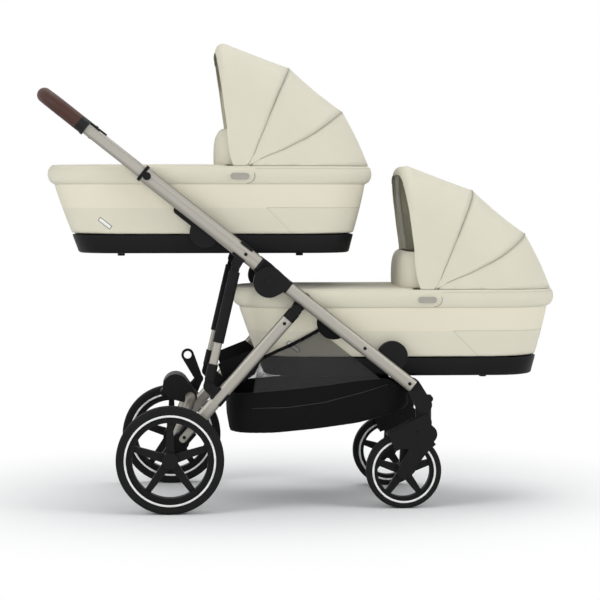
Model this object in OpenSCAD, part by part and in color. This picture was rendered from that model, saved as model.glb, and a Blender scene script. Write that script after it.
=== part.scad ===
// Tandem pram: a folding frame on four wheels that carries two carry-cots, one above the other
// X runs forward, Y to the left, Z up. The origin is on the floor under the middle of the pram.

/* [Wheels] */
// Diameter of the rear wheels
rear_wheel_d = 290; // [260:5:310]
// Width of the rear tyres
rear_tyre_w = 48; // [40:1:52]
// Distance between the middles of the rear tyres
rear_track = 600; // [590:5:640]
// Height of the rear tyres from rim to tread
rear_tyre_h = 22; // [18:1:26]
// Diameter of the front wheels
front_wheel_d = 205; // [185:5:215]
// Width of the front tyres
front_tyre_w = 42; // [34:1:46]
// Distance between the middles of the front tyres
front_track = 444; // [436:2:450]
// Height of the front tyres from rim to tread
front_tyre_h = 15.5; // [13:0.5:19]
// Distance from the rear axle to the front axle
wheelbase = 636; // [620:2:650]
// How far the front axle trails behind its swivel
trail = 54; // [46:1:60]
// Spokes in each wheel
spoke_count = 5; // [4:1:7]

/* [Frame] */
// Slope of the main tubes, in degrees
slope = 38.4; // [37:0.2:40]
// Distance between the middles of the left and right main tubes
gauge = 480; // [478:1:490]
// Distance of the fold hinge ahead of the rear axle
fold_x = 267.4; // [260:1:275]
// Height of the fold hinge
fold_z = 619; // [610:1:630]
// How far the fold hinge lies below the line of the tubes
hinge_drop = 20.6; // [19:0.2:22]
// Height of the upper tube's section
upper_tall = 42; // [38:1:44]
// Width of the upper tube's section
upper_wide = 26; // [24:1:26]
// Length of the upper tubes
upper_tube_l = 394; // [380:2:410]
// Height of the front tube's section
front_tall = 36; // [32:1:38]
// Width of the front tube's section
front_wide = 24; // [22:1:24]
// Length of the front tubes
front_tube_l = 431; // [425:1:440]
// Wall of the tubes
tube_wall = 2.2; // [1.6:0.2:3]
// Space along the line from the hinge to each tube's end
hinge_space = 53; // [51:1:56]

/* [Handle] */
// Height of the handle tube's section
handle_tall = 32; // [28:1:34]
// Width of the handle tube's section
handle_wide = 18; // [16:1:19]
// Length of handle tube that shows between collar and grip
handle_shown = 193; // [150:1:200]
// Length of handle tube inside the upper tube
handle_inside = 240; // [200:5:250]
// Length of the grip's legs up to the cross piece
grip_l = 146; // [130:1:160]
// Diameter of the grip
grip_d = 41; // [37:1:43]
// Bend radius of the grip's corners
grip_bend = 60; // [45:1:80]

/* [Legs and struts] */
// Height of the rear leg tube's section
leg_tall = 34; // [30:1:36]
// Width of the rear leg tube's section
leg_wide = 20; // [18:1:21]
// How far down the main line the leg pivots sit
leg_pivot_along = 105; // [102:1:112]
// How far the leg pivots lie below the line of the tubes
leg_pivot_drop = 34.5; // [34:0.5:38]
// How far ahead of the rear axle the legs end
leg_end_x = 28; // [24:1:34]
// How far above the rear axle the legs end
leg_end_up = 43; // [38:1:50]
// Distance from the leg pivot to the strut's foot, along the leg
strut_foot_along = 312; // [300:1:320]
// Height of the strut's foot pivot off the leg's middle line
strut_foot_off = 42.6; // [40:0.2:45]
// How far up the main line from the hinge the strut's top pivot sits
strut_top_along = 98.5; // [95:0.5:102]
// How far the strut's top pivot lies below the line of the tubes
strut_top_drop = 37.5; // [37:0.5:40]
// Height of the strut's outer tube section
strut_tall = 30; // [28:1:32]
// Width of the strut's outer tube section
strut_wide = 22; // [20:1:22]
// Diameter of the cross arch between the rear wheels
arch_d = 28; // [24:1:30]
// How far ahead of the rear axle the arch's cross piece lies
arch_x = 55; // [50:1:60]
// Height of the middle of the arch's cross piece
arch_z = 290; // [280:1:300]

/* [Cots] */
// Half length of a cot at its rim
rim_half_l = 449; // [430:1:455]
// Half width of a cot at its rim
rim_half_w = 215; // [208:1:217]
// Height of the rim band
rim_h = 49; // [44:1:54]
// How far the rim stands out past the wall
rim_out = 18; // [14:1:22]
// Height of the fabric wall under the rim
wall_h = 139; // [130:1:150]
// How far the wall draws in at each end towards its foot
wall_draw = 42; // [36:1:48]
// How far the wall's foot sits ahead of its rim
foot_lean = 8; // [4:1:10]
// How far the wall draws in at each side towards its foot
side_draw = 6; // [5:0.5:7]
// Height of the base tray
base_h = 50; // [44:1:56]
// How far the base tray draws in towards its foot
base_draw = 13; // [8:1:16]
// Corner radius of the cots, seen from above
cot_corner = 140; // [120:1:160]
// Thickness of the cot's walls
cot_wall = 12; // [9:1:14]
// Radius of the cot's carrying hubs
hub_r = 41; // [36:1:44]
// Height of the hubs' middle above the base tray's top edge
hub_up = 7; // [4:1:10]
// How far the hubs lie behind the middle of the cot
hub_back = 16.5; // [10:0.5:22]
// How far up the main line the upper cot's hubs sit
upper_hub_along = 217.8; // [214:0.2:222]
// How far the upper hubs lie below the line of the tubes
upper_hub_drop = 23; // [21:1:25]
// How far the front cot's hubs sit behind the front end of the main tubes
front_hub_back = 92; // [88:1:96]
// How far the front hubs lie above the line of the tubes
front_hub_rise = 30; // [28:1:32]

/* [Canopies] */
// Distance of the canopy pivots ahead of the cot's hubs
canopy_x = 95.5; // [90:0.5:100]
// Radius of the canopy at its front bow
bow_front_r = 366; // [350:1:372]
// Radius of the canopy at its middle bow
bow_mid_r = 332.5; // [320:0.5:340]
// Radius of the canopy at its rear bow
bow_rear_r = 341; // [330:1:350]
// Slope of the front bow, in degrees from straight ahead
bow_front_a = 98.3; // [96:0.1:100]
// Slope of the middle bow
bow_mid_a = 64.9; // [62:0.1:68]
// Slope of the rear bow
bow_rear_a = 31.8; // [30:0.1:34]
// Corner radius of the bows
bow_corner = 130; // [100:1:150]
// Height of the wind flap above the rim
flap_h = 104; // [80:1:115]

/* [Basket] */
// Distance of the basket's back edge ahead of the rear axle
basket_back_x = 162; // [158:1:170]
// Half width of the basket at its top
basket_half_w = 207; // [202:1:209]
// Height of the basket's floor at the back
basket_floor_z = 200; // [190:1:210]
// Thickness of the basket's fabric
basket_wall = 4; // [3:0.5:5]

/* [Hidden] */
$fn = 64;

// Colours
silver = [0.66, 0.64, 0.61];
black = [0.09, 0.09, 0.1];
tan_leather = [0.33, 0.19, 0.13];
linen = [0.84, 0.82, 0.75];
mesh_grey = [0.4, 0.4, 0.4];
cotton = [0.95, 0.94, 0.92];
plate_grey = [0.55, 0.54, 0.5];

// Clearances
gap = 0.3;
pin_gap = 0.05;
overrun = 2;
ease = 0.02;
button_gap = 0.5;

// Side plane: points are pairs of distance ahead of the rear axle and height
frame_y = gauge / 2;
rear_r = rear_wheel_d / 2;
front_r = front_wheel_d / 2;
axle = [0, rear_r];
front_axle = [wheelbase, front_r];
fold = [fold_x, fold_z];

// A point on the main tubes' line: along is down the line from the hinge, up is square to it
function line(along, up = 0) =
    fold + (hinge_drop + up) * [sin(slope), cos(slope)] + along * [cos(slope), -sin(slope)];

// Leg: from its pivot down to the wheel carrier
leg_pivot = line(leg_pivot_along, -leg_pivot_drop);
leg_end = axle + [leg_end_x, leg_end_up];
leg_l = norm(leg_end - leg_pivot);
leg_dir = (leg_end - leg_pivot) / leg_l;
function leg(along, off = 0) = leg_pivot + along * leg_dir + off * [leg_dir[1], -leg_dir[0]];

// Strut: from its foot on the leg up to the upper tube
strut_foot = leg(strut_foot_along, strut_foot_off);
strut_top = line(-strut_top_along, -strut_top_drop);
strut_l = norm(strut_top - strut_foot);
strut_dir = (strut_top - strut_foot) / strut_l;
function strut(along) = strut_foot + along * strut_dir;

// Handle
collar_along = -hinge_space - upper_tube_l;
grip_along = collar_along - handle_shown;
grip_top = line(grip_along - grip_l);
collar_lip = 4;
collar_l = 9;
knob_along = 13;
collar_wall = 3;
knob_r = 11;
knob_h = 5;
plug_l = 20;
grip_socket_l = 60;
band_l = 8;
band_wall = 1.5;
button_l = 30;
button_w = 8;
button_up = 4;
button_deep = 9;
button_off = 2;
groove_w = 8;
groove_deep = 1;

// Fold hinge
hinge_r = 42;
hinge_half = 16;
hinge_neck = 9;
hinge_pin_r = 7;
pin_head_r = 12;
pin_head_h = 3;
leg_pin_r = 5;
ear_t = 6;
ear_r = 14;
saddle_r = 20;
sleeve_r = 15;
sleeve_start = 6;
sleeve_l = 34;

// Strut
strut_pin_r = 5;
top_pin_r = 4;
top_play = 1.6;
strut_eye_r = 13;
strut_eye_w = 14.4;
top_eye_r = 11;
top_eye_w = 16;
strut_ear_t = 4.6;
inner_tall = 23;
inner_wide = 15;
clevis_tall = 28;
clevis_neck = 17;
clevis_l = 62;
inner_start = 30;
inner_room = 30.7151;
outer_start = 122;
outer_stop = 20;
outer_cap = 18;
inner_end = strut_l - outer_stop - outer_cap - inner_room;
bracket_l = 40;
bracket_back = 28;
bracket_wall = 2.5;
window_lip = 5;

// Rear end
carrier_r = 24;
carrier_wall = 4;
carrier_inset = 15;
carrier_outset = 12;
carrier_in = frame_y - carrier_inset;
carrier_out = frame_y + carrier_outset;
boss_r = 17;
rear_axle_r = 6;
carrier_sleeve_l = 42;
arch_inset = 28;
arch_half = frame_y - arch_inset;
arch_bend = 70;
arch_lean = 22;
arch_rise = 136;
arch_top = [arch_x, arch_z];
arch_foot = arch_top - arch_rise * [sin(arch_lean), cos(arch_lean)];
arch_socket_l = 40;
arch_socket_wall = 4;
wheel_gap = 4;

// Brake and lever
brake_half = 55;
brake_off = [-41, 28];
brake_pivot = arch_top + brake_off;
brake_r = 36;
pedal_half = 40;
pedal_r = 15;
pedal_run = [-32, -18];
pedal_tip = brake_pivot + pedal_run;
pedal_tip_r = 9;
tread_half = 30;
tread_h = 2;
pedal_room = 60;
pedal_pin_r = 4;
lever_y = 60;
lever_off = [25, 40];
lever_pivot = arch_top + lever_off;
lever_run = [-32, 68];
lever_tip = lever_pivot + lever_run;
lever_r = 11;
lever_boss_r = 12.5;
lever_eye_r = 18;
lever_hole_r = 11;
lever_w = 11;
lever_ear_t = 5;
lever_ring_wall = 5;

// Front end
swivel_x = wheelbase + trail;
front_y = front_track / 2;
swivel_up = 54;
seam_z = front_wheel_d + swivel_up;
swivel_r = 22;
stem_r = 8;
stem_l = 40;
elbow_up = 50;
elbow_half = 22;
nose_r = 9;
nose_off = [17, 40];
cross_r = 11;
cross_in = 6;
cross_off = [8.5, -12.5];
cross_at = line(hinge_space + front_tube_l) + cross_off;
tyre_gap = 4;
fork_arm_t = 8;
crown_r = 20;
arm_top = [63, 102];
arm_top_r = 26;
fork_hub_r = 20;
fender_gap = 5;
fender_t = 6;
fender_from = 41;
fender_to = 114;
skirt_r = 62;
front_axle_r = 5;

// Wheels
tyre_round = 9;
rim_share = 0.70;
rim_w_share = 0.62;
wheel_hub_r = 22;
spoke_root_r = 13;
spoke_tip_r = 8;
spoke_w = 16;
rear_hub_half = 22;
hub_cap = 6;

// Adapters
adapter_t = 14;
adapter_in = frame_y - upper_wide / 2 - adapter_t;
tongue_l = 34;
tongue_w = 16;
tongue_in = 13;
tail_r = 12;
tail_along = 312;
tail_drop = 20;
front_lift = 12;
upper_lift = 75.5;

// Cots, in a frame whose zero is the middle of the carrying hubs
upper_hub = line(-upper_hub_along, -upper_hub_drop);
front_hub_along = hinge_space + front_tube_l - front_hub_back;
front_hub = line(front_hub_along, front_hub_rise);
cot_mid = hub_back;
tray_mid = cot_mid + foot_lean;
tray_top = -hub_up;
tray_foot = tray_top - base_h;
rim_foot = tray_top + wall_h;
rim_top = rim_foot + rim_h;
wall_half_l = rim_half_l - rim_out;
wall_half_w = rim_half_w - rim_out / 2;
tray_half_l = wall_half_l - wall_draw;
tray_half_w = wall_half_w - 2 * side_draw;
foot_half_l = tray_half_l - base_draw;
foot_half_w = tray_half_w - base_draw / 2;
base_round = 9;
base_lean = 2;
cot_floor = 6;
tray_wall = 4;
rim_wall = 14;
hub_out = adapter_in - gap;
hub_in = tray_half_w + 2 * side_draw * (hub_r + hub_up) / wall_h + gap;
hub_root = 9;
foot_r = 10;
foot_h = 8;
foot_y = 120;
foot_x = 245;
mattress_h = 40;
mattress_crown = 10;
mattress_room = 8;
corner_steps = 8;

// Apron and wind flap
apron_h = 4;
apron_crown = 2;
apron_end = 34;
apron_nose = 20;
flap_x = 28;
flap_back_x = 105;
flap_t = 5;
flap_corner = 60;

// Canopy
canopy_up = 21;
canopy_z = rim_foot + canopy_up;
canopy_inset = 7;
canopy_half_w = rim_half_w - canopy_inset;
canopy_t = 4;
canopy_lift = 0.5;
bow_t = 3;
bow_w = 10;
bow_apart = 0.5;
bow_step = bow_t + bow_apart;
bow_drop = 2.6;
bow_side = wall_half_w - cot_wall - gap;
flap_half_w = bow_side - 3 * bow_step;
bow_eye_r = 9;
bow_pin_r = 3;
pill_l = 50;
pill_h = 17;
pill_t = 4;
roll_up = 9;
roll_low = 25;
roll_front = 4;
roll_turn = 2;
roll_lean = 1;
arc_steps = 7;
canopy_end_inset = 10;

// Basket
basket_corner = 60;
basket_draw = 14;
basket_clear = 3;
basket_shares = [0, 0.24, 0.48, 0.72, 0.88, 1];
floor_rises = [0, 0, 11, 27, 48, 70];
wall_rises = [113, 122.5, 133.5, 150.5, 156, 110];
side_shares = [0.2, 0.4, 0.6, 0.8];
panel_t = 2;
strap_w = 9;
strap_points = [[78, 204], [168, 238], [242, 286]];
patch_points = [[-32, 195], [53, 229], [85, 204], [69, 167], [42, 150], [12, 130], [-12, 140]];
patch_t = 1.4;
tab_along = 225;
tab_r = 15;

// The pram's middle comes over the origin
back_end = grip_top[0] - grip_d / 2;
front_end = front_hub[0] + cot_mid + rim_half_l;
axle_x = -(back_end + front_end) / 2;
module stand() translate([axle_x, 0, 0]) children();
module both() {
    children();
    mirror([0, 1, 0]) children();
}
module side(left) {
    if (left) children();
    else mirror([0, 1, 0]) children();
}

// An outline in the side plane, given thickness from y_in to y_out
module slab(y_in, y_out) translate([0, y_out, 0]) rotate([90, 0, 0]) linear_extrude(y_out - y_in) children();
module rod(p, r, y_in, y_out) slab(y_in, y_out) translate(p) circle(r);

// Two round ends and the straight sides that all but touch both
module link(p, rp, q, rq) {
    run = q - p;
    turn = atan2(run[1], run[0]);
    lean = acos((rp - rq) / norm(run));
    translate(p) circle(rp);
    translate(q) circle(rq);
    polygon([for (e = [[p, rp, 1], [q, rq, 1], [q, rq, -1], [p, rp, -1]])
        e[0] + (e[1] - ease) * [cos(turn + e[2] * lean), sin(turn + e[2] * lean)]]);
}

// A tube section with round ends
module stadium(tall, wide) {
    square([tall - wide, wide], center = true);
    for (end = [-1, 1]) translate([end * (tall - wide) / 2, 0]) circle(d = wide);
}

// A bar of that section between two points of the side plane
module bar(p, q, tall, wide, y = frame_y) {
    run = q - p;
    translate([p[0], y, p[1]]) rotate([0, atan2(run[0], run[1]), 0])
        linear_extrude(norm(run)) stadium(tall, wide);
}

// The section of a plug that fits inside a tube
function plug(size) = size - 2 * (tube_wall + ease);

// The opening that leaves a tube's outer face bare where a bracket clasps it
module window(p, q, tall) slab(frame_y, frame_y + tall)
    link(p, tall / 2 - window_lip, q, tall / 2 - window_lip);

// An arch of round tube: legs up to the bends and a cross piece between them
module arch(foot, top, half, bend, r, more = 0) {
    run = top - foot;
    rise = norm(run);
    translate([foot[0], 0, foot[1]]) rotate([0, atan2(run[0], run[1]), 0]) {
        both() translate([0, half, -more]) cylinder(r = r, h = rise - bend + more);
        both() translate([0, half - bend, rise - bend]) rotate([90, 0, 90])
            rotate_extrude(angle = 90) translate([bend, 0]) circle(r);
        translate([0, bend - half, rise]) rotate([-90, 0, 0]) cylinder(r = r, h = 2 * (half - bend));
    }
}

// Rings of points joined into a closed skin; each ring mirrors itself across the middle plane
module skin(rings) {
    n = len(rings[0]);
    last = (len(rings) - 1) * n;
    polyhedron(
        points = [for (ring = rings) each ring],
        faces = [
            for (i = [0:len(rings) - 2], j = [0:n - 1]) let (k = (j + 1) % n)
                each [
                    [i * n + j, (i + 1) * n + j, (i + 1) * n + k],
                    [i * n + j, (i + 1) * n + k, i * n + k]
                ],
            for (j = [0:n / 2 - 2]) [j, j + 1, n - 2 - j, n - 1 - j],
            for (j = [0:n / 2 - 2]) [last + n - 1 - j, last + n - 2 - j, last + j + 1, last + j]
        ],
        convexity = 6
    );
}

// A rounded rectangle of points at height z; nose is the front corners' radius where it differs
function ring(mid, half_l, half_w, corner, z, nose = 0) = [
    for (c = [0:3], i = [0:corner_steps]) let (
        turn = 90 * (c + i / corner_steps),
        ahead = c == 0 || c == 3 ? 1 : -1,
        left = c < 2 ? 1 : -1,
        bend = ahead > 0 && nose > 0 ? nose : corner
    ) [
        mid + ahead * (half_l - bend) + bend * cos(turn),
        left * (half_w - bend) + bend * sin(turn),
        z
    ]
];

// Front frame

module front_tubes() color(silver) stand() both() difference() {
    bar(line(hinge_space), line(hinge_space + front_tube_l), front_tall, front_wide);
    bar(line(hinge_space - overrun), line(hinge_space + front_tube_l + overrun),
        front_tall - 2 * tube_wall, front_wide - 2 * tube_wall);
}

module front_crossbar() color(black) stand()
    rod(cross_at, cross_r, elbow_half - front_y - cross_in, front_y - elbow_half + cross_in);

module front_elbows() {
    tube_stop = line(hinge_space + front_tube_l);
    knee = [swivel_x, seam_z + elbow_up / 2];
    color(black) stand() both() {
        difference() {
            union() {
                slab(front_y - elbow_half, front_y + elbow_half)
                    link(tube_stop, front_tall / 2 + collar_wall, knee, swivel_r);
                slab(front_y - elbow_half / 2, front_y + elbow_half / 2)
                    translate([swivel_x, seam_z] + nose_off) circle(nose_r);
                translate([swivel_x, front_y, seam_z]) cylinder(r = swivel_r, h = elbow_up);
            }
            bar(line(hinge_space), tube_stop, 3 * front_tall, 3 * front_wide);
            translate([swivel_x, front_y, seam_z - overrun])
                cylinder(r = stem_r + pin_gap, h = stem_l + 2 * overrun);
            translate([swivel_x, front_y, seam_z - elbow_up])
                cylinder(r = 2 * elbow_up, h = elbow_up);
            rod(cross_at, cross_r, 0, front_y - elbow_half + cross_in);
        }
        bar(line(hinge_space + front_tube_l - plug_l), line(hinge_space + front_tube_l + overrun),
            plug(front_tall), plug(front_wide));
    }
}

// Fold hinge: one cheek of each half lies beside the other's

module hinge_half_body(y_in, y_out, way, tall, wide) {
    stop = way * hinge_space;
    neck = line(stop - way * hinge_neck);
    difference() {
        union() {
            slab(y_in, y_out) link(fold, hinge_r, line(stop - way * tall / 2), tall / 2);
            bar(neck, line(stop), tall, wide);
            bar(neck, line(stop + way * plug_l), plug(tall), plug(wide));
        }
        rod(fold, hinge_pin_r + pin_gap, y_in - overrun, y_out + overrun);
    }
}

module fold_hinge_lower() color(black) stand() both()
    hinge_half_body(frame_y + gap / 2, frame_y + hinge_half, 1, front_tall, front_wide);

module fold_hinge_upper() color(black) stand() both()
    hinge_half_body(frame_y - hinge_half, frame_y - gap / 2, -1, upper_tall, upper_wide);

module leg_brackets() {
    y = frame_y - front_wide / 2;
    color(black) stand() both() difference() {
        slab(y - ear_t, y) link(line(leg_pivot_along), saddle_r, leg_pivot, ear_r);
        rod(leg_pivot, leg_pin_r + pin_gap, y - ear_t - overrun, y + overrun);
    }
}

module headed_pin(p, r, y_in, y_out) {
    rod(p, r, y_in - gap, y_out + gap);
    rod(p, r * pin_head_r / hinge_pin_r, y_in - gap - pin_head_h, y_in - gap);
    rod(p, r * pin_head_r / hinge_pin_r, y_out + gap, y_out + gap + pin_head_h);
}

module hinge_pins() color(silver) stand() both() {
    headed_pin(fold, hinge_pin_r, frame_y - hinge_half, frame_y + hinge_half);
    headed_pin(leg_pivot, leg_pin_r, frame_y - front_wide / 2 - ear_t, frame_y + front_wide / 2 - gap);
}

// Adapters that carry the cots: a disc against the tube with a tongue for the cot's hub

module tongue(hub, lift) translate([hub[0], adapter_in - tongue_in, hub[1]]) rotate([0, -lift, 0])
    translate([-tongue_l / 2, 0, -tongue_w / 2]) cube([tongue_l, tongue_in, tongue_w]);

module upper_adapters() color(black) stand() both() {
    rod(upper_hub, hub_r, adapter_in, frame_y - upper_wide / 2);
    slab(adapter_in, frame_y - upper_wide / 2)
        link(line(-tail_along, -tail_drop), tail_r, line(-upper_hub_along, -tail_drop), tail_r);
    tongue(upper_hub, upper_lift);
}

module front_adapters() color(black) stand() both() {
    rod(front_hub, hub_r, adapter_in, frame_y - front_wide / 2);
    tongue(front_hub, front_lift);
}

// Upper frame and handle

module upper_tubes() color(silver) stand() both() difference() {
    bar(line(-hinge_space), line(collar_along), upper_tall, upper_wide);
    bar(line(overrun - hinge_space), line(collar_along - overrun),
        upper_tall - 2 * tube_wall, upper_wide - 2 * tube_wall);
    bar(line(overrun - hinge_space), line(collar_along - overrun),
        groove_w, 2 * groove_deep, frame_y + upper_wide / 2);
}

module tube_collars() color(black) stand() both() {
    difference() {
        bar(line(collar_along - collar_lip), line(collar_along - collar_lip + collar_l),
            upper_tall + 2 * collar_wall, upper_wide + 2 * collar_wall);
        bar(line(collar_along), line(collar_along + collar_l), upper_tall, upper_wide);
        bar(line(collar_along - collar_l), line(collar_along + collar_l),
            handle_tall + 2 * gap, handle_wide + 2 * gap);
    }
    rod(line(collar_along + knob_along), knob_r, frame_y + upper_wide / 2,
        frame_y + upper_wide / 2 + knob_h);
}

module button_room(spare) {
    at = line(grip_along + button_off);
    translate([at[0], frame_y, at[1]]) rotate([0, slope, 0])
        translate([-spare, -button_w / 2 - spare, handle_tall / 2 - button_deep - spare])
            cube([button_l + 2 * spare, button_w + 2 * spare, button_deep + button_up + spare]);
}

module handle_bar() color(silver) stand() both() difference() {
    bar(line(collar_along + handle_inside), line(grip_along - grip_socket_l), handle_tall, handle_wide);
    bar(line(collar_along + handle_inside + overrun), line(grip_along - grip_socket_l - overrun),
        handle_tall - 2 * tube_wall, handle_wide - 2 * tube_wall);
    button_room(button_gap);
}

module handle_grip() color(tan_leather) stand() difference() {
    union() {
        arch(line(grip_along), grip_top, frame_y, grip_bend, grip_d / 2);
        both() bar(line(grip_along), line(grip_along - band_l),
            grip_d + 2 * band_wall, grip_d + 2 * band_wall - gap);
    }
    both() bar(line(grip_along + overrun), line(grip_along - grip_socket_l), handle_tall, handle_wide);
}

module handle_button(left) color(black) stand() side(left) button_room(0);
module handle_button_left() handle_button(true);
module handle_button_right() handle_button(false);

// Rear legs

module leg_tubes() color(silver) stand() both() difference() {
    bar(leg(sleeve_l), leg_end, leg_tall, leg_wide);
    bar(leg(sleeve_l - overrun), leg(leg_l + overrun),
        leg_tall - 2 * tube_wall, leg_wide - 2 * tube_wall);
}

module leg_sleeves() {
    half = front_wide / 2 - gap;
    color(black) stand() both() difference() {
        union() {
            rod(leg_pivot, sleeve_r, frame_y - half, frame_y + half);
            bar(leg(sleeve_start), leg(sleeve_l), leg_tall, 2 * half);
            bar(leg(sleeve_start), leg(sleeve_l + plug_l), plug(leg_tall), plug(leg_wide));
        }
        rod(leg_pivot, leg_pin_r + pin_gap, frame_y - half - overrun, frame_y + half + overrun);
    }
}

// Ears on each side of a strut's end, with their pin
module strut_ears(root, root_r, eye, eye_r, eye_w, pin_r) {
    for (y = [frame_y - eye_w / 2 - gap - strut_ear_t, frame_y + eye_w / 2 + gap]) difference() {
        slab(y, y + strut_ear_t) link(root, root_r, eye, eye_r);
        rod(eye, pin_r + pin_gap, y - overrun, y + strut_ear_t + overrun);
    }
}

module ear_pin(eye, eye_w, pin_r) {
    reach = eye_w / 2 + gap + strut_ear_t;
    headed_pin(eye, pin_r, frame_y - reach, frame_y + reach);
}

module strut_sockets() color(black) stand() both() {
    difference() {
        union() {
            bar(leg(strut_foot_along - bracket_l / 2), leg(strut_foot_along + bracket_l / 2),
                leg_tall + 2 * bracket_wall, leg_wide + 2 * bracket_wall);
            strut_ears(leg(strut_foot_along, bracket_l / 4), bracket_l / 2.5, strut_foot,
                strut_eye_r, strut_eye_w, strut_pin_r);
        }
        bar(leg(sleeve_l), leg_end, leg_tall, leg_wide);
        window(leg(strut_foot_along - bracket_l), leg(strut_foot_along + bracket_l), leg_tall);
    }
    ear_pin(strut_foot, strut_eye_w, strut_pin_r);
}

module strut_brackets() color(black) stand() both() {
    difference() {
        union() {
            bar(line(-strut_top_along - bracket_back), line(bracket_l - strut_top_along - bracket_back),
                upper_tall + 2 * bracket_wall, upper_wide + 2 * bracket_wall);
            strut_ears(line(-strut_top_along - bracket_back / 4, -bracket_l / 4), bracket_l / 2.5, strut_top,
                strut_eye_r, top_eye_w, top_pin_r);
        }
        bar(line(-hinge_space), line(collar_along), upper_tall, upper_wide);
        window(line(-strut_top_along - 2 * bracket_l), line(bracket_l - strut_top_along), upper_tall);
    }
    ear_pin(strut_top, top_eye_w, top_pin_r);
}

module strut_clevis() color(black) stand() both() difference() {
    union() {
        slab(frame_y - strut_eye_w / 2, frame_y + strut_eye_w / 2)
            link(strut_foot, strut_eye_r, strut(inner_start), inner_tall / 2);
        bar(strut(clevis_neck), strut(clevis_l), clevis_tall, strut_wide);
    }
    bar(strut(inner_start), strut(clevis_l + overrun), inner_tall, inner_wide);
    rod(strut_foot, strut_pin_r + pin_gap, 0, 2 * frame_y);
}

module strut_inner() color(silver) stand() both()
    bar(strut(inner_start), strut(inner_end), inner_tall, inner_wide);

module strut_outer() color(black) stand() both() difference() {
    union() {
        bar(strut(outer_start), strut(strut_l - outer_stop), strut_tall, strut_wide);
        slab(frame_y - top_eye_w / 2, frame_y + top_eye_w / 2)
            link(strut_top, top_eye_r, strut(strut_l - outer_stop), top_eye_r);
    }
    bar(strut(outer_start - overrun), strut(strut_l - outer_stop - outer_cap),
        inner_tall + 2 * gap, inner_wide + 2 * gap);
    rod(strut_top, top_pin_r + top_play, 0, 2 * frame_y);
}

module on_arch_leg(along) {
    run = arch_top - arch_foot;
    at = arch_foot + along * run / norm(run);
    translate([at[0], arch_half, at[1]]) rotate([0, atan2(run[0], run[1]), 0]) children();
}

module rear_arch() color(silver) stand() difference() {
    arch(arch_foot, arch_top, arch_half, arch_bend, arch_d / 2);
    arch(arch_foot, arch_top, arch_half, arch_bend, arch_d / 2 - tube_wall, overrun);
}

module wheel_carriers() {
    socket_r = arch_d / 2 + arch_socket_wall;
    boss_end = rear_track / 2 - rear_tyre_w / 2 - wheel_gap;
    color(black) stand() both() difference() {
        union() {
            bar(leg(leg_l - carrier_sleeve_l), leg(leg_l + carrier_wall),
                leg_tall + 2 * carrier_wall, leg_wide + 2 * carrier_wall);
            slab(carrier_in, carrier_out) link(leg_end, carrier_r, axle, carrier_r);
            rod(axle, boss_r, carrier_in, boss_end);
            slab(arch_half, carrier_in + overrun) link(arch_foot, socket_r, axle, boss_r);
            on_arch_leg(-arch_socket_wall) cylinder(r = socket_r, h = arch_socket_l);
        }
        bar(leg(sleeve_l), leg_end, leg_tall, leg_wide);
        window(leg(leg_l - 2 * carrier_sleeve_l), leg(leg_l - leg_tall / 2 + window_lip), leg_tall);
        on_arch_leg(0) cylinder(r = arch_d / 2, h = 2 * arch_socket_l);
        rod(axle, rear_axle_r + pin_gap, carrier_in, boss_end + overrun);
    }
}

module rear_axles() color(silver) stand() both()
    rod(axle, rear_axle_r, carrier_in, rear_track / 2 + rear_hub_half - hub_cap - gap);

// Brake and release lever on the arch

module brake_housing() {
    lever_half = lever_w / 2 + gap;
    color(black) stand() {
        difference() {
            slab(-brake_half, brake_half) link(brake_pivot, brake_r, arch_top, arch_d / 2 + lever_ring_wall);
            slab(-pedal_half - gap, pedal_half + gap) {
                translate(brake_pivot) circle(pedal_r + gap);
                translate(brake_pivot - [pedal_room, pedal_room]) {
                    square([pedal_room, pedal_room + pedal_r + gap]);
                    square([pedal_room + pedal_r + gap, pedal_room]);
                }
            }
            rod(arch_top, arch_d / 2, -brake_half - overrun, brake_half + overrun);
            rod(brake_pivot, pedal_pin_r + pin_gap, -brake_half - overrun, brake_half + overrun);
        }
        rod(brake_pivot, pedal_pin_r, -brake_half, brake_half);
        difference() {
            union() {
                slab(lever_y, lever_y + lever_w + 2 * gap + 2 * lever_ear_t)
                    translate(arch_top) circle(arch_d / 2 + lever_ring_wall);
                for (y = [lever_y, lever_y + lever_ear_t + lever_w + 2 * gap])
                    slab(y, y + lever_ear_t)
                        link(arch_top, arch_d / 2 + lever_ring_wall, lever_pivot, lever_r);
            }
            rod(arch_top, arch_d / 2, 0, 2 * lever_y);
            rod(lever_pivot, pedal_pin_r + pin_gap, 0, 2 * lever_y);
        }
        rod(lever_pivot, pedal_pin_r, lever_y, lever_y + 2 * lever_half + 2 * lever_ear_t);
    }
}

module brake_pedal() color(black) stand() difference() {
    union() {
        slab(-pedal_half, pedal_half) link(brake_pivot, pedal_r, pedal_tip, pedal_tip_r);
        rod(pedal_tip, pedal_tip_r + tread_h, -tread_half, tread_half);
    }
    rod(brake_pivot, pedal_pin_r + pin_gap, -brake_half, brake_half);
}

module release_lever() color(black) stand() difference() {
    union() {
        slab(lever_y + lever_ear_t + gap, lever_y + lever_ear_t + gap + lever_w)
            link(lever_pivot, lever_r, lever_tip, lever_eye_r);
        rod(lever_pivot, lever_boss_r, lever_y + lever_ear_t + gap, lever_y + lever_ear_t + gap + lever_w);
    }
    rod(lever_tip, lever_hole_r, lever_y, 2 * lever_y);
    rod(lever_pivot, pedal_pin_r + pin_gap, lever_y, 2 * lever_y);
}

// Wheels

module tyre(at, y, r, w, h) {
    bend = min(tyre_round, h / 2);
    translate([at[0], y, at[1]]) rotate([90, 0, 0]) rotate_extrude() {
        translate([r - h, -w / 2]) square([h - bend, w]);
        translate([r - h, bend - w / 2]) square([h, w - 2 * bend]);
        for (end = [-1, 1]) translate([r - bend, end * (w / 2 - bend)]) circle(bend);
    }
}

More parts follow.
